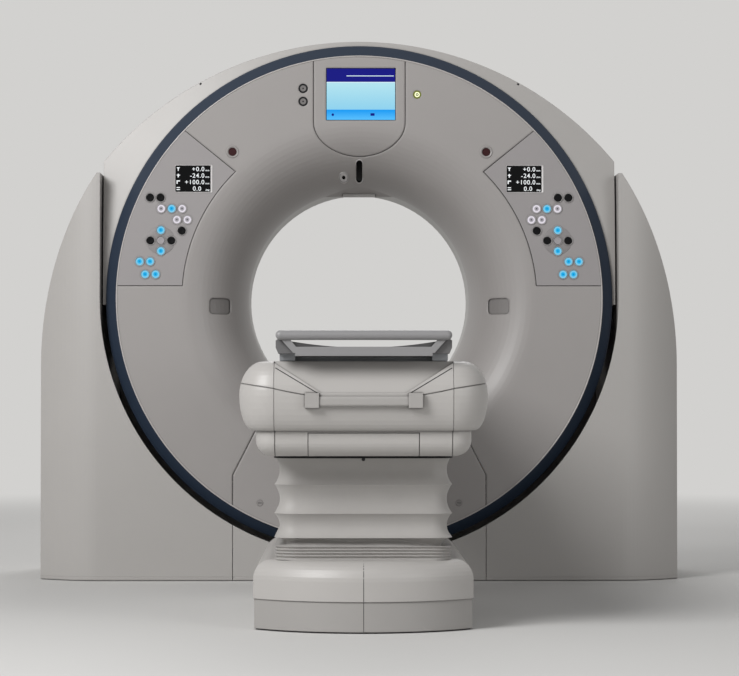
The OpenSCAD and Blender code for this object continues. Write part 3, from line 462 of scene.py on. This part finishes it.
def piece(name, bm, materials, body):
    """Turn a mesh in progress into a smooth-shaded piece that rides on a body."""
    bmesh.ops.remove_doubles(bm, verts=bm.verts, dist=MERGE)
    bmesh.ops.recalc_face_normals(bm, faces=bm.faces)
    mesh = bpy.data.meshes.new(name)
    bm.to_mesh(mesh)
    bm.free()
    for material in materials:
        mesh.materials.append(material)
    obj = placed(name, mesh)
    mesh.shade_smooth()
    mesh.set_sharp_from_angle(angle=SHARP_ANGLE)
    if body:
        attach(obj, body)
    return obj


def islands(name):
    """Lowest and highest corner of each separate solid in a CAD node, in a fixed order."""
    bm = bmesh.new()
    bm.from_mesh(NODES[name].data)
    bmesh.ops.remove_doubles(bm, verts=bm.verts, dist=0.01 * MM)
    left = set(bm.verts)
    boxes = []
    while left:
        group = [left.pop()]
        for vert in group:
            fresh = left.intersection(edge.other_vert(vert) for edge in vert.link_edges)
            left -= fresh
            group.extend(fresh)
        boxes.append([Vector([pick(v.co[i] for v in group) for i in range(3)]) for pick in (min, max)])
    bm.free()
    return sorted(boxes, key=lambda box: tuple(round(c, 4) for c in box[0]))


def turned(bm, centre, profile, zones=None, segments=40):
    """Turn a profile of (radius, height to the front) about an axis along Y; zones are materials by band."""
    rows = [[bm.verts.new((x, centre.y - height, z))
             for x, z in disc(centre.x, centre.z, radius, segments if radius else 1)]
            for radius, height in profile]
    span(bm, rows, zones)


def plate(bm, outline, y, thickness, material=0):
    """A thin plate with an outline of (x, z) points, standing towards the front from y."""
    rows = [[bm.verts.new((x, depth, z)) for x, z in outline] for depth in (y - thickness, y)]
    for row in rows:
        bm.faces.new(row).material_index = material
    span(bm, rows[::-1], (material,))


def middle(low, high):
    """The middle of a box."""
    return (low + high) / 2


def seat(low, high, y):
    """The middle of a box, as seen from the front, at the depth y."""
    return Vector(((low.x + high.x) / 2, y, (low.z + high.z) / 2))


def fitted(bm, low, high, profile, zones):
    """Turn a profile, in shares of a box's radius and height, so that it stands in the box."""
    radius, height = (high.x - low.x) / 2, high.y - low.y
    turned(bm, seat(low, high, high.y), [(u * radius, v * height) for u, v in profile], zones)


def rectangle(x0, x1, z0, z1):
    return [(x0, z0), (x1, z0), (x1, z1), (x0, z1)]


def rounded(x0, x1, z0, z1, radius, steps=4):
    """Outline of a rectangle with round corners."""
    corners = rectangle(x0 + radius, x1 - radius, z0 + radius, z1 - radius)
    outline = []
    for k, (x, z) in enumerate(corners[1:] + corners[:1]):
        angles = [math.radians(-90 + 90 * k + 90 * i / steps) for i in range(steps + 1)]
        outline += [(x + radius * math.cos(a), z + radius * math.sin(a)) for a in angles]
    return outline


def disc(x, z, radius, count=24):
    """Points round a circle."""
    angles = [2 * math.pi * i / count for i in range(count)]
    return [(x + radius * math.cos(a), z + radius * math.sin(a)) for a in angles]


def written(bm, text, height, x, y, z):
    """Bold figures as thin solids that end at x, standing towards the front from y."""
    curve = bpy.data.curves.new("digits", "FONT")
    curve.body = text
    curve.size = height
    curve.align_x = "RIGHT"
    curve.extrude = 0.15 * MM
    curve.offset = 0.2 * MM
    curve.space_character = 1.15
    holder = placed("digits", curve)
    mesh = bpy.data.meshes.new_from_object(holder.evaluated_get(bpy.context.evaluated_depsgraph_get()))
    mesh.transform(Matrix.Translation((x, y, z)) @ Matrix.Rotation(math.radians(90), 4, "X"))
    bm.from_mesh(mesh)
    bpy.data.objects.remove(holder)
    bpy.data.curves.remove(curve)
    bpy.data.meshes.remove(mesh)


# Operators, one for each piece or group of like pieces

class SCANNER_OT_covers(bpy.types.Operator):
    """Finish the stand, crown and couch covers"""
    bl_idname = "scanner.covers"
    bl_label = "Covers"

    def execute(self, context):
        c = colours()
        paint_nodes(moulded_abs("abs_covers", c.covers), "stand_cover_left", "stand_cover_right",
                    "kick_panel", "rear_skirt", "crown_cover", "belly_cover")
        # painted light: the couch covers are the same plastic as the stand's, drawn 4% lighter for the
        # stronger light on the couch
        paint_nodes(moulded_abs("abs_couch_painted_light", shade(c.covers, 1.04)), "couch_side_left", "couch_side_right",
                    "foot_cover", "head_cover", "couch_lower_cover", "foot_hatch", "base_cover")
        paint_nodes(moulded_abs("abs_plinth", shade(c.covers, 0.82)), "base_skirt")
        paint_nodes(moulded_abs("abs_disc", c.disc, 3.5), "front_cover", "front_lower_cover", "rear_cover",
                    "monitor_panel")
        paint_nodes(moulded_abs("abs_liner", c.liner), "bore_liner", "laser_housing")
        paint_nodes(printed_film("polycarbonate_film", c.film), "control_panel_left", "control_panel_right")
        paint_nodes(two_pack_paint("polyurethane_slate", c.ring, 2 * MM), "ring_trim")
        paint_nodes(gloss_plastic("smoked_acrylic", linear("#040405"), 0.2, 0.08), "laser_windows")
        # painted shade: the windows beside the bore take the disc colour darkened, for the shade in their
        # recesses
        recess_painted_shade = moulded_abs("abs_recess_painted_shade", shade(c.disc, 0.62))
        paint_faces("laser_windows", recess_painted_shade, lambda face: abs(face.center.x) > SIDE_X)
        return {"FINISHED"}


class SCANNER_OT_trim(bpy.types.Operator):
    """Build the plugs, lips, joint lines, bead and rims of the covers"""
    bl_idname = "scanner.trim"
    bl_label = "Trim"
    # joint lines: their widths, and how far the ends of the scoop's lie below the foot cover's top
    nose_w = 1.4 * MM
    scoop_w = 2.2 * MM
    scoop_top = 18 * MM
    scoop_low = 88 * MM
    # height of the rims; a central window taller than slot_h is the laser's slot
    rim_h = 1.4 * MM
    slot_h = 40 * MM

    def execute(self, context):
        rubber = gloss_plastic("rubber_black", linear("#17171A"), 0.5, 0.2)
        self.plugs(rubber)
        self.skirting()
        self.joints(rubber)
        self.ring()
        self.rims()
        return {"FINISHED"}

    def plugs(self, rubber):
        """Plugs of the crown's lifting points."""
        s = sizes()
        axis = middle(*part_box("ring_trim"))
        bm = bmesh.new()
        places = [(axis.x + side * s.plug_x, axis.z + s.plug_rise) for side in SIDES]
        for place, _ in front_of("crown_cover", places):
            turned(bm, place, [(0, 0), (s.plug, 0), (s.plug, 0.6 * MM), (0, 0.8 * MM)])
        piece("lifting_plugs", bm, [rubber], "tilt")

    def skirting(self):
        """A lip that carries the lower edges of the stand covers down to just above the floor, in painted
        shade a little darker than the covers.
        """
        bm = bmesh.new()
        for node in ("stand_cover_left", "stand_cover_right", "kick_panel", "rear_skirt"):
            self.lengthen(bm, node, sizes().floor_gap)
        # painted shade: the cover colour 3% darker, for the shade near the floor
        skirt_painted_shade = moulded_abs("abs_skirting_painted_shade", shade(colours().covers, 0.97))
        piece("floor_skirting", bm, [skirt_painted_shade], "stand")

    def lengthen(self, bm, node, height):
        """A solid from the lowest faces of a CAD node down to a height."""
        mesh = NODES[node].data
        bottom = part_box(node)[0].z
        under = [[tuple(mesh.vertices[i].co.xy) for i in face.vertices] for face in mesh.polygons
                 if face.normal.z < -0.99 and face.center.z < bottom + MM]
        corners = {xy: [bm.verts.new((*xy, z)) for z in (bottom, height)] for face in under for xy in face}
        for face in under:
            for level in (0, 1):
                bm.faces.new([corners[xy][level] for xy in face])
        # an edge that two faces share is in the list both ways
        edges = [edge for face in under for edge in zip(face, face[1:] + face[:1])]
        for a, b in edges:
            if (b, a) not in edges:
                bm.faces.new((corners[a][0], corners[b][0], corners[b][1], corners[a][1]))

    def joints(self, rubber):
        """Joint lines of the couch's nose and of the scoop in its foot cover."""
        s = sizes()
        bm = bmesh.new()
        for node in ("base_cover", "base_skirt"):
            low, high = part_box(node)
            x = middle(low, high).x
            strip(bm, node, ((x, low.z + MM), (x, high.z - MM)), self.nose_w)
        piece("nose_joint", bm, [rubber], "stand")

        bm = bmesh.new()
        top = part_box("foot_cover")[1].z
        for side in SIDES:
            ends = ((side * s.joint_out, top - self.scoop_top), (side * s.joint_in, top - self.scoop_low))
            strip(bm, "foot_cover", ends, self.scoop_w)
        piece("scoop_joints", bm, [rubber], "couch")

    def ring(self):
        """The soft lip outside the ring and the bead round the disc inside it; the bead is a painted
        highlight, lighter than the disc.
        """
        s = sizes()
        axis = middle(*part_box("ring_trim"))
        bm = bmesh.new()
        low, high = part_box("ring_trim")
        inner = (high.x - low.x) / 2 - 0.5 * MM
        outer = inner + s.lip
        slope = 0.92
        turned(bm, Vector((axis.x, high.y, axis.z)),
               [(inner, s.lip_edge), (outer, s.lip_edge - slope * s.lip), (outer, 0), (inner, 0),
                (inner, s.lip_edge)], segments=RING_SEGMENTS)
        piece("ring_lip", bm, [NODES["ring_trim"].data.materials[0]], "tilt")

        bm = bmesh.new()
        low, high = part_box("front_cover")
        radius = (high.x - low.x) / 2 - 0.6 * MM
        turn = [math.radians(a) for a in range(0, 361, 30)]
        turned(bm, Vector((axis.x, low.y, axis.z)),
               [(radius + s.bead * math.cos(a), s.bead * math.sin(a) - 0.5 * MM) for a in turn],
               segments=RING_SEGMENTS)
        # painted highlight: the bead is drawn far lighter than the disc so that the disc's edge reads as a
        # bright line
        painted_highlight = gloss_plastic("abs_bead_painted_highlight", shade(colours().disc, 1.45), 0.25)
        piece("disc_bead", bm, [painted_highlight], "tilt")

    def rims(self):
        """Rims of the laser's slot and of the camera lens, and the pale seat round the lens."""
        s = sizes()
        bm = bmesh.new()
        for low, high in islands("laser_windows"):
            if abs(low.x + high.x) > SIDE_X:
                continue
            half = (high.x - low.x) / 2
            x, z = (low.x + high.x) / 2, (low.z + high.z) / 2
            if high.z - low.z > self.slot_h:
                rim(bm, "front_cover", self.rim_h, lambda reach: rounded(
                    low.x - reach, high.x + reach, low.z - reach, high.z + reach, half + reach - 0.1 * MM))
            else:
                rim(bm, "front_cover", self.rim_h, lambda reach: disc(x, z, s.lens + reach))
                paint_faces("laser_housing", moulded_abs("abs_lens_seat", colours().collar),
                            lambda face: math.hypot(face.center.x - x, face.center.z - z) < s.lens)
        piece("window_rims", bm, [gloss_plastic("abs_rim", colours().collar, 0.3)], "tilt")


class SCANNER_OT_displays(bpy.types.Operator):
    """Build the monitor's picture and the read-outs of the two small displays"""
    bl_idname = "scanner.displays"
    bl_label = "Displays"
    # figures and unit of each row, how far from the right edge the figures end, and the outlines of the
    # mark that leads it (arrow, table, tilted head, bore), in millimetres
    rows = (("+0.0", "mm", 27, ([(-6, 6), (0, -1), (6, 6)], rectangle(-1.5, 1.5, -6, 1))),
            ("-24.0", "mm", 27, (rectangle(-5, 6, 0, 3), rectangle(-2, 2, -6, 6))),
            ("+100.0", "mm", 27, (rectangle(-6, 6, 2, 6), rectangle(-6, -2, -6, 2))),
            ("0.0", "deg", 38, (rectangle(-6, 6, 2, 5), rectangle(-6, 6, -5, -2))))
    margin = 10 * MM
    # room under the rows and the first baseline, in rows; figures, units and the marks' middle, in digits
    spare = 0.2
    first = 0.93
    figure_h = 1.25
    unit_h = 0.5
    mark_z = 0.42
    # outlines of a small display's frame at the glass, the crest and the foot, in millimetres: how far they
    # stand out, how far they lie inside at the left, at the right and above and below, and their corners
    outlines = ((0.1, 0.5, 6, 2, 2.5), (1.6, 0, 0, 0, 4), (0, -1.5, -1.5, -1.5, 5))

    def execute(self, context):
        paint_nodes(gloss_plastic("display_glass", linear("#040506"), 0.1, 0.15), "screens")
        boxes = sorted(islands("screens"), key=lambda box: box[1].x - box[0].x)
        for side, box in zip(("left", "right"), sorted(boxes[:2], key=lambda box: box[0].x)):
            self.readout("readout_" + side, *box)
        self.frames(boxes[:2])
        self.picture(*boxes[2])
        return {"FINISHED"}

    def readout(self, name, low, high):
        """Rows of figures, each with its mark and unit."""
        bm = bmesh.new()
        height = sizes().digit
        step = (high.z - low.z) / (len(self.rows) + self.spare)
        face = low.y
        for i, (text, unit, end, mark) in enumerate(self.rows):
            base = high.z - step * (i + self.first)
            written(bm, text, height * self.figure_h, high.x - end * MM, face, base)
            written(bm, unit, height * self.unit_h, high.x - self.margin, face, base)
            x, z = low.x + self.margin, base + height * self.mark_z
            for outline in mark:
                plate(bm, [(x + u * MM, z + v * MM) for u, v in outline], face, 0.3 * MM)
        piece(name, bm, [lit_plastic("display_figures", linear("#F0F3F5"), 1.0)], "tilt")

    def frames(self, boxes):
        """Frames of the small displays: a lip that slopes down to the glass, widest at the right."""
        bm = bmesh.new()
        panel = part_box("control_panel_left")[0].y
        for low, high in boxes:
            rows = []
            for y, values in zip((low.y, panel, panel), self.outlines):
                proud, left, right, level, radius = (value * MM for value in values)
                outline = rounded(low.x + left, high.x - right, low.z + level, high.z - level, radius)
                rows.append([bm.verts.new((x, y - proud, z)) for x, z in outline])
            tube(bm, rows)
        frame_abs = gloss_plastic("display_frame", colours().collar, 0.3)
        piece("display_frames", bm, [frame_abs], "tilt")

    def picture(self, low, high):
        """Bands of colour with a bar, a ring and two small marks."""
        bm = bmesh.new()
        x0, x1 = low.x + 2 * MM, high.x - 2 * MM
        z0, z1 = low.z + 2 * MM, high.z - 2 * MM
        width, height = x1 - x0, z1 - z0
        face, thin = low.y, 0.2 * MM
        header, footer = z1 - 0.26 * height, z0 + 0.2 * height
        plate(bm, rectangle(x0, x1, header, z1), face, thin, 0)
        plate(bm, rectangle(x0, x1, footer, header), face, thin, 1)
        plate(bm, rectangle(x0, x1, z0, footer), face, thin, 2)
        front = face - thin
        bar = z1 - 0.15 * height
        plate(bm, rectangle(x0 + 0.29 * width, x1 - 0.02 * width, bar, bar + 2.5 * MM), front, thin, 3)
        plate(bm, rectangle(x0, x1, header - 2.5 * MM, header), front, thin, 3)
        plate(bm, disc(x0 + 0.09 * width, z0 + 0.1 * height, 4.5 * MM), front, thin, 0)
        plate(bm, rectangle(x0 + 0.64 * width, x0 + 0.7 * width, z0 + 0.08 * height, z0 + 0.13 * height),
              front, thin, 0)
        finishes = [lit_plastic("display_navy", linear("#04077C"), 1.0),
                    lit_grade("display_sky", linear("#8FD2EE"), linear("#B2E0EA"), footer, header),
                    lit_grade("display_blue", linear("#55BBF8"), linear("#129AF4"), z0, footer),
                    lit_plastic("display_white", linear("#D9ECF7"), 1.0)]
        piece("monitor_picture", bm, finishes, "tilt")


class SCANNER_OT_keys(bpy.types.Operator):
    """Build the key caps, the round plates under the direction keys and their marks"""
    bl_idname = "scanner.keys"
    bl_label = "Keys"
    # a cap in its collar, in shares of the key's radius and height, and the material of each band
    profile = ((0, 0), (1.34, 0), (1.26, 0.8), (1.06, 0.1), (1.03, 0.8), (0.95, 1), (0.6, 0.93), (0.22, 0.9),
               (0.18, 0.88), (0, 0.88))
    zones = (0, 0, 0, 1, 1, 1, 2, 3, 3)
    # material of the key in the middle of the direction keys
    pad = 4

    def execute(self, context):
        c = colours()
        collar = gloss_plastic("key_collar", c.collar, 0.3)
        dark = gloss_plastic("key_cap_dark", c.dark, 0.35, 0.1)
        centre = lit_plastic("key_pale_face", shade(c.pale, 0.6), 0.75)
        inked = gloss_plastic("key_ink", linear("#4A464E"), 0.3)
        mark = lit_plastic("key_mark", linear("#1487C8"), 0.9)
        grey = gloss_plastic("key_cap_grey", linear("#9C989B"), 0.35)
        lit = (lit_plastic("key_lit_rim", c.lit_rim, 0.9), lit_plastic("key_lit", c.lit, 0.9))
        pale = lit_plastic("key_pale_rim", c.pale, 0.9)
        faces = {"keys_blue": (*lit, mark), "keys_white": (pale, centre, inked),
                 "keys_dark": (dark, dark, dark)}
        middles = self.middles()
        for node, finishes in faces.items():
            bm = bmesh.new()
            for low, high in islands(node):
                self.cap(bm, low, high, middle(low, high) in middles)
            caps = piece(node.replace("keys", "key_caps"), bm, [collar, *finishes, grey], "tilt")
            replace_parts(caps, node)
        self.plates(middles)
        return {"FINISHED"}

    def cap(self, bm, low, high, central):
        """A dished cap, as tall as the key, with a small mark in the middle, inside a low sloping collar."""
        fitted(bm, low, high, self.profile, [self.pad if central and zone else zone for zone in self.zones])

    def middles(self):
        """Centres of the keys that stand in the middle of a row of three dark ones."""
        keys = [middle(*box) for box in islands("keys_dark")]
        found = []
        for key in keys:
            row = [k for k in keys if abs(k.z - key.z) < MM and abs(k.x - key.x) < sizes().plate]
            if len(row) == 3 and abs(sum(k.x for k in row) / 3 - key.x) < MM:
                found.append(key)
        return found

    def plates(self, middles):
        """Round plates behind the direction keys."""
        bm = bmesh.new()
        back = islands("keys_dark")[0][1].y
        r = sizes().plate
        profile = [(0, 0), (r, 0), (r, 0.6 * MM), (0.96 * r, 1.2 * MM), (0.6 * r, 0.9 * MM), (0, 0.8 * MM)]
        for key in middles:
            turned(bm, Vector((key.x, back, key.z)), profile)
        piece("direction_plates", bm, [printed_film("direction_plate_film", shade(colours().film, 0.8))],
              "tilt")


class SCANNER_OT_buttons(bpy.types.Operator):
    """Finish the stop buttons and build their collars and the lamps"""
    bl_idname = "scanner.buttons"
    bl_label = "Stop buttons and lamps"
    # collar of a stop button, in millimetres from the button's edge and the front cover
    collar = ((-1.8, -0.8), (2, 2.4), (3, 2.6), (6.5, 0), (-1.8, -0.8))
    # a lamp's lens, in shares of its radius and height, and the materials of its bands in both kinds of lamp
    lens = ((0, 0), (1.1, 0), (1.1, 0.8), (1.04, 1), (0.7, 1), (0.36, 0.97), (0.18, 0.95), (0, 0.95))
    power = (2, 2, 2, 2, 1, 0, 1)
    touch = (0, 0, 0, 0, 3, 3, 0)

    def execute(self, context):
        c = colours()
        paint_nodes(gloss_plastic("stop_button_red", c.stop, 0.35, 0.25), "stop_left", "stop_right")
        bm = bmesh.new()
        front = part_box("front_cover")[0].y
        for node in ("stop_left", "stop_right"):
            low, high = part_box(node)
            r = (high.x - low.x) / 2
            turned(bm, seat(low, high, front), [(r + u * MM, v * MM) for u, v in self.collar])
        piece("stop_collars", bm, [gloss_plastic("stop_collar", c.disc, 0.3)], "tilt")
        self.lamps()
        return {"FINISHED"}

    def lamps(self):
        """Two dark touch lamps on one side and the ring-shaped power lamp on the other."""
        finishes = [gloss_plastic("lamp_black", linear("#101114"), 0.3, 0.25),
                    lit_plastic("lamp_power", colours().power, 1.2),
                    lit_plastic("lamp_glow", linear("#6A7026"), 1.0),
                    gloss_plastic("lamp_face", linear("#726F6E"), 0.35)]
        bm = bmesh.new()
        for low, high in islands("lamps"):
            fitted(bm, low, high, self.lens, self.power if low.x > 0 else self.touch)
        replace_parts(piece("lamp_lenses", bm, finishes, "tilt"), "lamps")


class SCANNER_OT_fasteners(bpy.types.Operator):
    """Build the quarter-turn fasteners of the lower access cover"""
    bl_idname = "scanner.fasteners"
    bl_label = "Fasteners"

    def execute(self, context):
        s = sizes()
        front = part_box("front_lower_cover")[0].y
        axis = middle(*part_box("bore_liner"))
        bm = bmesh.new()
        r = s.fastener
        for side in SIDES:
            centre = Vector((axis.x + side * s.fastener_x, front, axis.z - s.fastener_drop))
            turned(bm, centre, [(0, 0), (r, 0), (r, 0.8 * MM), (0.92 * r, 1.4 * MM), (0.7 * r, 1.2 * MM),
                                (0, MM)])
            slit = rectangle(centre.x - 0.6 * r, centre.x + 0.6 * r, centre.z - MM, centre.z + MM)
            plate(bm, slit, front - MM, 0.25 * MM, 1)
        finishes = [moulded_abs("abs_fastener", shade(colours().disc, 0.8)),
                    gloss_plastic("fastener_slit", linear("#1A1A1C"), 0.4)]
        piece("quarter_turn_fasteners", bm, finishes, "tilt")
        return {"FINISHED"}


class SCANNER_OT_bellows(bpy.types.Operator):
    """Build the bellows that stretch between the couch base and the couch"""
    bl_idname = "scanner.bellows"
    bl_label = "Bellows"
    # heights of the large folds in millimetres, from the top, and of the loose one below them
    large = (80, 79, 66)
    loose = 24
    # number of closed folds below the loose one
    closed = 4
    # depth of the loose and closed folds in shares of the large ones', and what fills out the curve of a fold
    loose_depth = 2.1
    closed_depth = 0.4
    swell = 0.8
    loose_swell = 0.6
    corner = 60 * MM
    corner_steps = 12
    # distance between points along the straight sides
    spacing = 25 * MM
    cloth = 2.5 * MM
    steps = 16
    small_steps = 8

    def execute(self, context):
        low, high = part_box("bellows")
        bm = bmesh.new()
        path = self.plan(low, high)
        rings = [[self.point(p, n, *fold) for p, n in path] for fold in self.folds(low.z, high.z)]
        rows = [[bm.verts.new(p) for p in ring] for ring in rings]
        span(bm, rows)
        skin = piece("bellows_skin", bm, [coated_cloth("coated_polyester", colours().bellows)], None)
        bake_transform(skin)
        thick = skin.modifiers.new("thickness", "SOLIDIFY")
        thick.thickness = self.cloth
        thick.offset = -1
        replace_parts(skin, "bellows")
        self.stud(low, high)
        self.clamp(path, high.z)
        return {"FINISHED"}

    def clamp(self, path, top):
        """Black rubber strip round the top of the cloth, drawn as a clamp to the couch: painted shadow, a
        dark band for the shadow gap under the couch.
        """
        bm = bmesh.new()
        section = ((1, 0.5), (1, 8), (-1, 8), (-1, 0.5))
        tube(bm, [[bm.verts.new(place + out * MM * normal + Vector((0, 0, top - drop * MM)))
                   for place, normal in path] for out, drop in section])
        piece("bellows_painted_shadow_strip", bm, [gloss_plastic("rubber_painted_shadow", linear("#141416"), 0.5, 0.2)], "couch")

    def stud(self, low, high):
        """Press stud that holds the top of the cloth to the couch."""
        bm = bmesh.new()
        drop = 11 * MM
        inset = sizes().fold * math.sin(math.pi * drop / (self.large[0] * MM)) ** self.swell
        centre = Vector(((low.x + high.x) / 2, low.y + inset + MM, high.z - drop))
        r = 5 * MM
        turned(bm, centre, [(0, 0), (r, 0), (r, 2 * MM), (0.8 * r, 3 * MM), (0, 3.4 * MM)])
        steel = bare_metal("stud_steel", linear("#3A3A3C"), 0.35, EVEN_LAY)
        piece("press_stud", bm, [steel], "couch")

    def plan(self, low, high):
        """Points round a rectangle with round corners, each with its outward normal."""
        r = self.corner
        outer = rounded(low.x, high.x, low.y, high.y, r, self.corner_steps)
        inner = rounded(low.x + r, high.x - r, low.y + r, high.y - r, 0, self.corner_steps)
        stops = [(Vector((*p, 0)), Vector((p[0] - c[0], p[1] - c[1], 0)) / r) for p, c in zip(outer, inner)]
        path = []
        for (a, normal), (b, _) in zip(stops, stops[1:] + stops[:1]):
            count = max(1, round((b - a).length / self.spacing))
            path += [(a.lerp(b, i / count), normal) for i in range(count)]
        return path

    def folds(self, bottom, top):
        """Deep scallops from the top down, one loose fold, then closed folds, as (inset, height, slack)."""
        depth = sizes().fold
        slack = sizes().slack
        turn = [(i / self.steps, math.sin(math.pi * i / self.steps)) for i in range(self.steps)]
        profile = []
        start = top
        for pitch in self.large:
            profile += [(depth * wave ** self.swell, start - pitch * MM * share, 0) for share, wave in turn]
            start -= pitch * MM
        loose = self.loose * MM
        profile += [(self.loose_depth * depth * wave ** self.loose_swell, start - loose * share, slack * wave)
                    for share, wave in turn]
        start -= loose
        height = (start - bottom) / self.closed
        count = self.small_steps
        for i in range(self.closed * count):
            inset = self.closed_depth * depth * math.sin(math.pi * (i % count) / count)
            profile.append((inset, start - height * i / count, 0))
        return profile + [(0, bottom, 0)]

    def point(self, place, normal, inset, z, slack):
        """A point of the skin; a loose fold rises and falls along the cloth."""
        swing = math.sin(11 * place.x + 7 * place.y) + 0.6 * math.sin(23 * place.x - 5 * place.y)
        return place - normal * inset + Vector((0, 0, z + slack * swing))


class SCANNER_OT_table(bpy.types.Operator):
    """Finish the table top, its grip, the carriage and the couch handle"""
    bl_idname = "scanner.table"
    bl_label = "Table"

    def execute(self, context):
        c = colours()
        paint_nodes(carbon_laminate("carbon_laminate", c.table), "table_top")
        paint_nodes(moulded_abs("abs_grip", c.grip), "grip_plate")
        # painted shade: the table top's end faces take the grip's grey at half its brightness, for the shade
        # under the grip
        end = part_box("table_top")[0].y + 3 * MM
        paint_faces("table_top", moulded_abs("abs_table_end_painted_shade", shade(c.grip, 0.5)),
                    lambda face: face.center.y < end)
        paint_nodes(moulded_abs("abs_handle", shade(c.covers, 0.86)), "foot_handle")
        paint_nodes(bare_metal("anodised_aluminium", linear("#96989B"), 0.55, (1, 0.05, 1)), "table_carriage",
                    "couch_deck", "couch_frame")
        return {"FINISHED"}


class SCANNER_OT_works(bpy.types.Operator):
    """Finish the frames, drives and rotor behind the covers"""
    bl_idname = "scanner.works"
    bl_label = "Works"
    along_y = (1, 0.08, 1)
    # name and colour of each finish, of the metals also the roughness and lay, and the nodes that have it
    coats = (("powder_coat_grey", "#4C5055", "stand_frame", "tilt_frame", "couch_base_plate"),
             ("powder_coat_blue", "#2D4A7C", "tilt_gearmotor", "lift_drive"),
             ("powder_coat_cream", "#A5A18E", "hv_units"),
             ("cast_iron_black", "#2B2D2F", "counterweights"),
             ("brush_carrier", "#5B4636", "brush_block"),
             ("detector_housing", "#3C5A78", "detector_array"))
    metals = (("ground_steel", "#A7A9AC", 0.28, along_y, "tilt_bearings", "bearing_outer", "bearing_inner",
               "column_outer", "column_mid", "column_inner"),
              ("cast_aluminium", "#9DA0A3", 0.48, EVEN_LAY, "rotor_frame", "xray_tube", "collimator",
               "heat_exchanger"),
              ("copper_tracks", "#B87350", 0.3, along_y, "slip_ring", "motor_stator"),
              ("magnet_steel", "#6A6D72", 0.4, along_y, "magnet_ring"))

    def execute(self, context):
        for name, colour, *nodes in self.coats:
            paint_nodes(powder_coat(name, linear(colour)), *nodes)
        for name, colour, rough, lay, *nodes in self.metals:
            paint_nodes(bare_metal(name, linear(colour), rough, lay), *nodes)
        return {"FINISHED"}


class SCANNER_OT_stage(bpy.types.Operator):
    """Build the studio floor, the lights and the camera"""
    bl_idname = "scanner.stage"
    bl_label = "Stage"
    # name, place and power of each lamp, their size and what they are turned to
    lamps = (("key", (-4.2, -6.6, 4.6), 490), ("fill", (4.6, -7.2, 2.4), 80), ("back", (0.5, 4.5, 5.0), 160))
    lamp_size = 4.0
    target = Vector((0, -0.8, 0.9))
    floor_r = 60.0
    ambient = 0.24

    def execute(self, context):
        self.floor()
        self.world(context.scene)
        for lamp in self.lamps:
            self.lamp(*lamp)
        self.camera(context.scene)
        context.scene.view_settings.view_transform = "Standard"
        return {"FINISHED"}

    def floor(self):
        bm = bmesh.new()
        bmesh.ops.create_circle(bm, cap_ends=True, radius=self.floor_r, segments=96)
        ground = piece("floor", bm, [studio_floor("studio_floor", colours().floor)], None)

    def world(self, scene):
        """A pale background for the eye and for reflections, and a soft even light for the rest."""
        scene.world, tree = blank("studio", "worlds")
        seen = seen_by(tree, "Camera", "Glossy", "Transmission")
        soft = add(tree, "ShaderNodeBackground", {"Color": linear("#FFFFFF"), "Strength": self.ambient})
        pale = add(tree, "ShaderNodeBackground", {"Color": colours().floor, "Strength": 1.0})
        light = add(tree, "ShaderNodeMixShader", {0: seen, 1: soft.outputs[0], 2: pale.outputs[0]})
        close(tree, light, "World")

    def lamp(self, name, place, power):
        data = bpy.data.lights.new(name, "AREA")
        data.shape = "DISK"
        data.size = self.lamp_size
        data.energy = power
        obj = placed(name, data)
        obj.location = place
        obj.rotation_euler = (self.target - Vector(place)).to_track_quat("-Z", "Y").to_euler()

    def camera(self, scene):
        s = sizes()
        data = bpy.data.cameras.new("photo_camera")
        data.sensor_fit = "HORIZONTAL"
        data.sensor_width = SENSOR_MM
        data.lens = s.focal * SENSOR_MM / PHOTO_W
        obj = placed("photo_camera", data)
        yaw = math.atan((PHOTO_W / 2 - PHOTO_AXIS[0]) / s.focal)
        pitch = math.atan((PHOTO_AXIS[1] - PHOTO_H / 2) / s.focal)
        obj.location = (s.camera_x, -s.camera_y, s.camera_z)
        obj.rotation_euler = (math.radians(90) + pitch, 0, -yaw)
        scene.camera = obj


class SCANNER_PT_panel(bpy.types.Panel):
    """The scanner's pieces, sizes and colours"""
    bl_idname = "SCANNER_PT_panel"
    bl_label = "CT scanner"
    bl_space_type = "VIEW_3D"
    bl_region_type = "UI"
    bl_category = "CT scanner"

    def draw(self, context):
        for operator in OPERATORS:
            self.layout.operator(operator.bl_idname)
        for group in (context.scene.scanner_sizes, context.scene.scanner_colours):
            for name in group.__annotations__:
                self.layout.prop(group, name)


OPERATORS = (SCANNER_OT_covers, SCANNER_OT_trim, SCANNER_OT_displays, SCANNER_OT_keys, SCANNER_OT_buttons,
             SCANNER_OT_fasteners, SCANNER_OT_bellows, SCANNER_OT_table, SCANNER_OT_works, SCANNER_OT_stage)
CLASSES = (ScannerColours, ScannerSizes, *OPERATORS, SCANNER_PT_panel)


def register():
    for cls in CLASSES:
        bpy.utils.register_class(cls)
    bpy.types.Scene.scanner_colours = PointerProperty(type=ScannerColours)
    bpy.types.Scene.scanner_sizes = PointerProperty(type=ScannerSizes)


def unregister():
    del bpy.types.Scene.scanner_sizes
    del bpy.types.Scene.scanner_colours
    for cls in reversed(CLASSES):
        bpy.utils.unregister_class(cls)


def main():
    register()
    bpy.ops.scanner.covers()
    bpy.ops.scanner.trim()
    bpy.ops.scanner.displays()
    bpy.ops.scanner.keys()
    bpy.ops.scanner.buttons()
    bpy.ops.scanner.fasteners()
    bpy.ops.scanner.bellows()
    bpy.ops.scanner.table()
    bpy.ops.scanner.works()
    bpy.ops.scanner.stage()


if __name__ == "__main__":
    main()
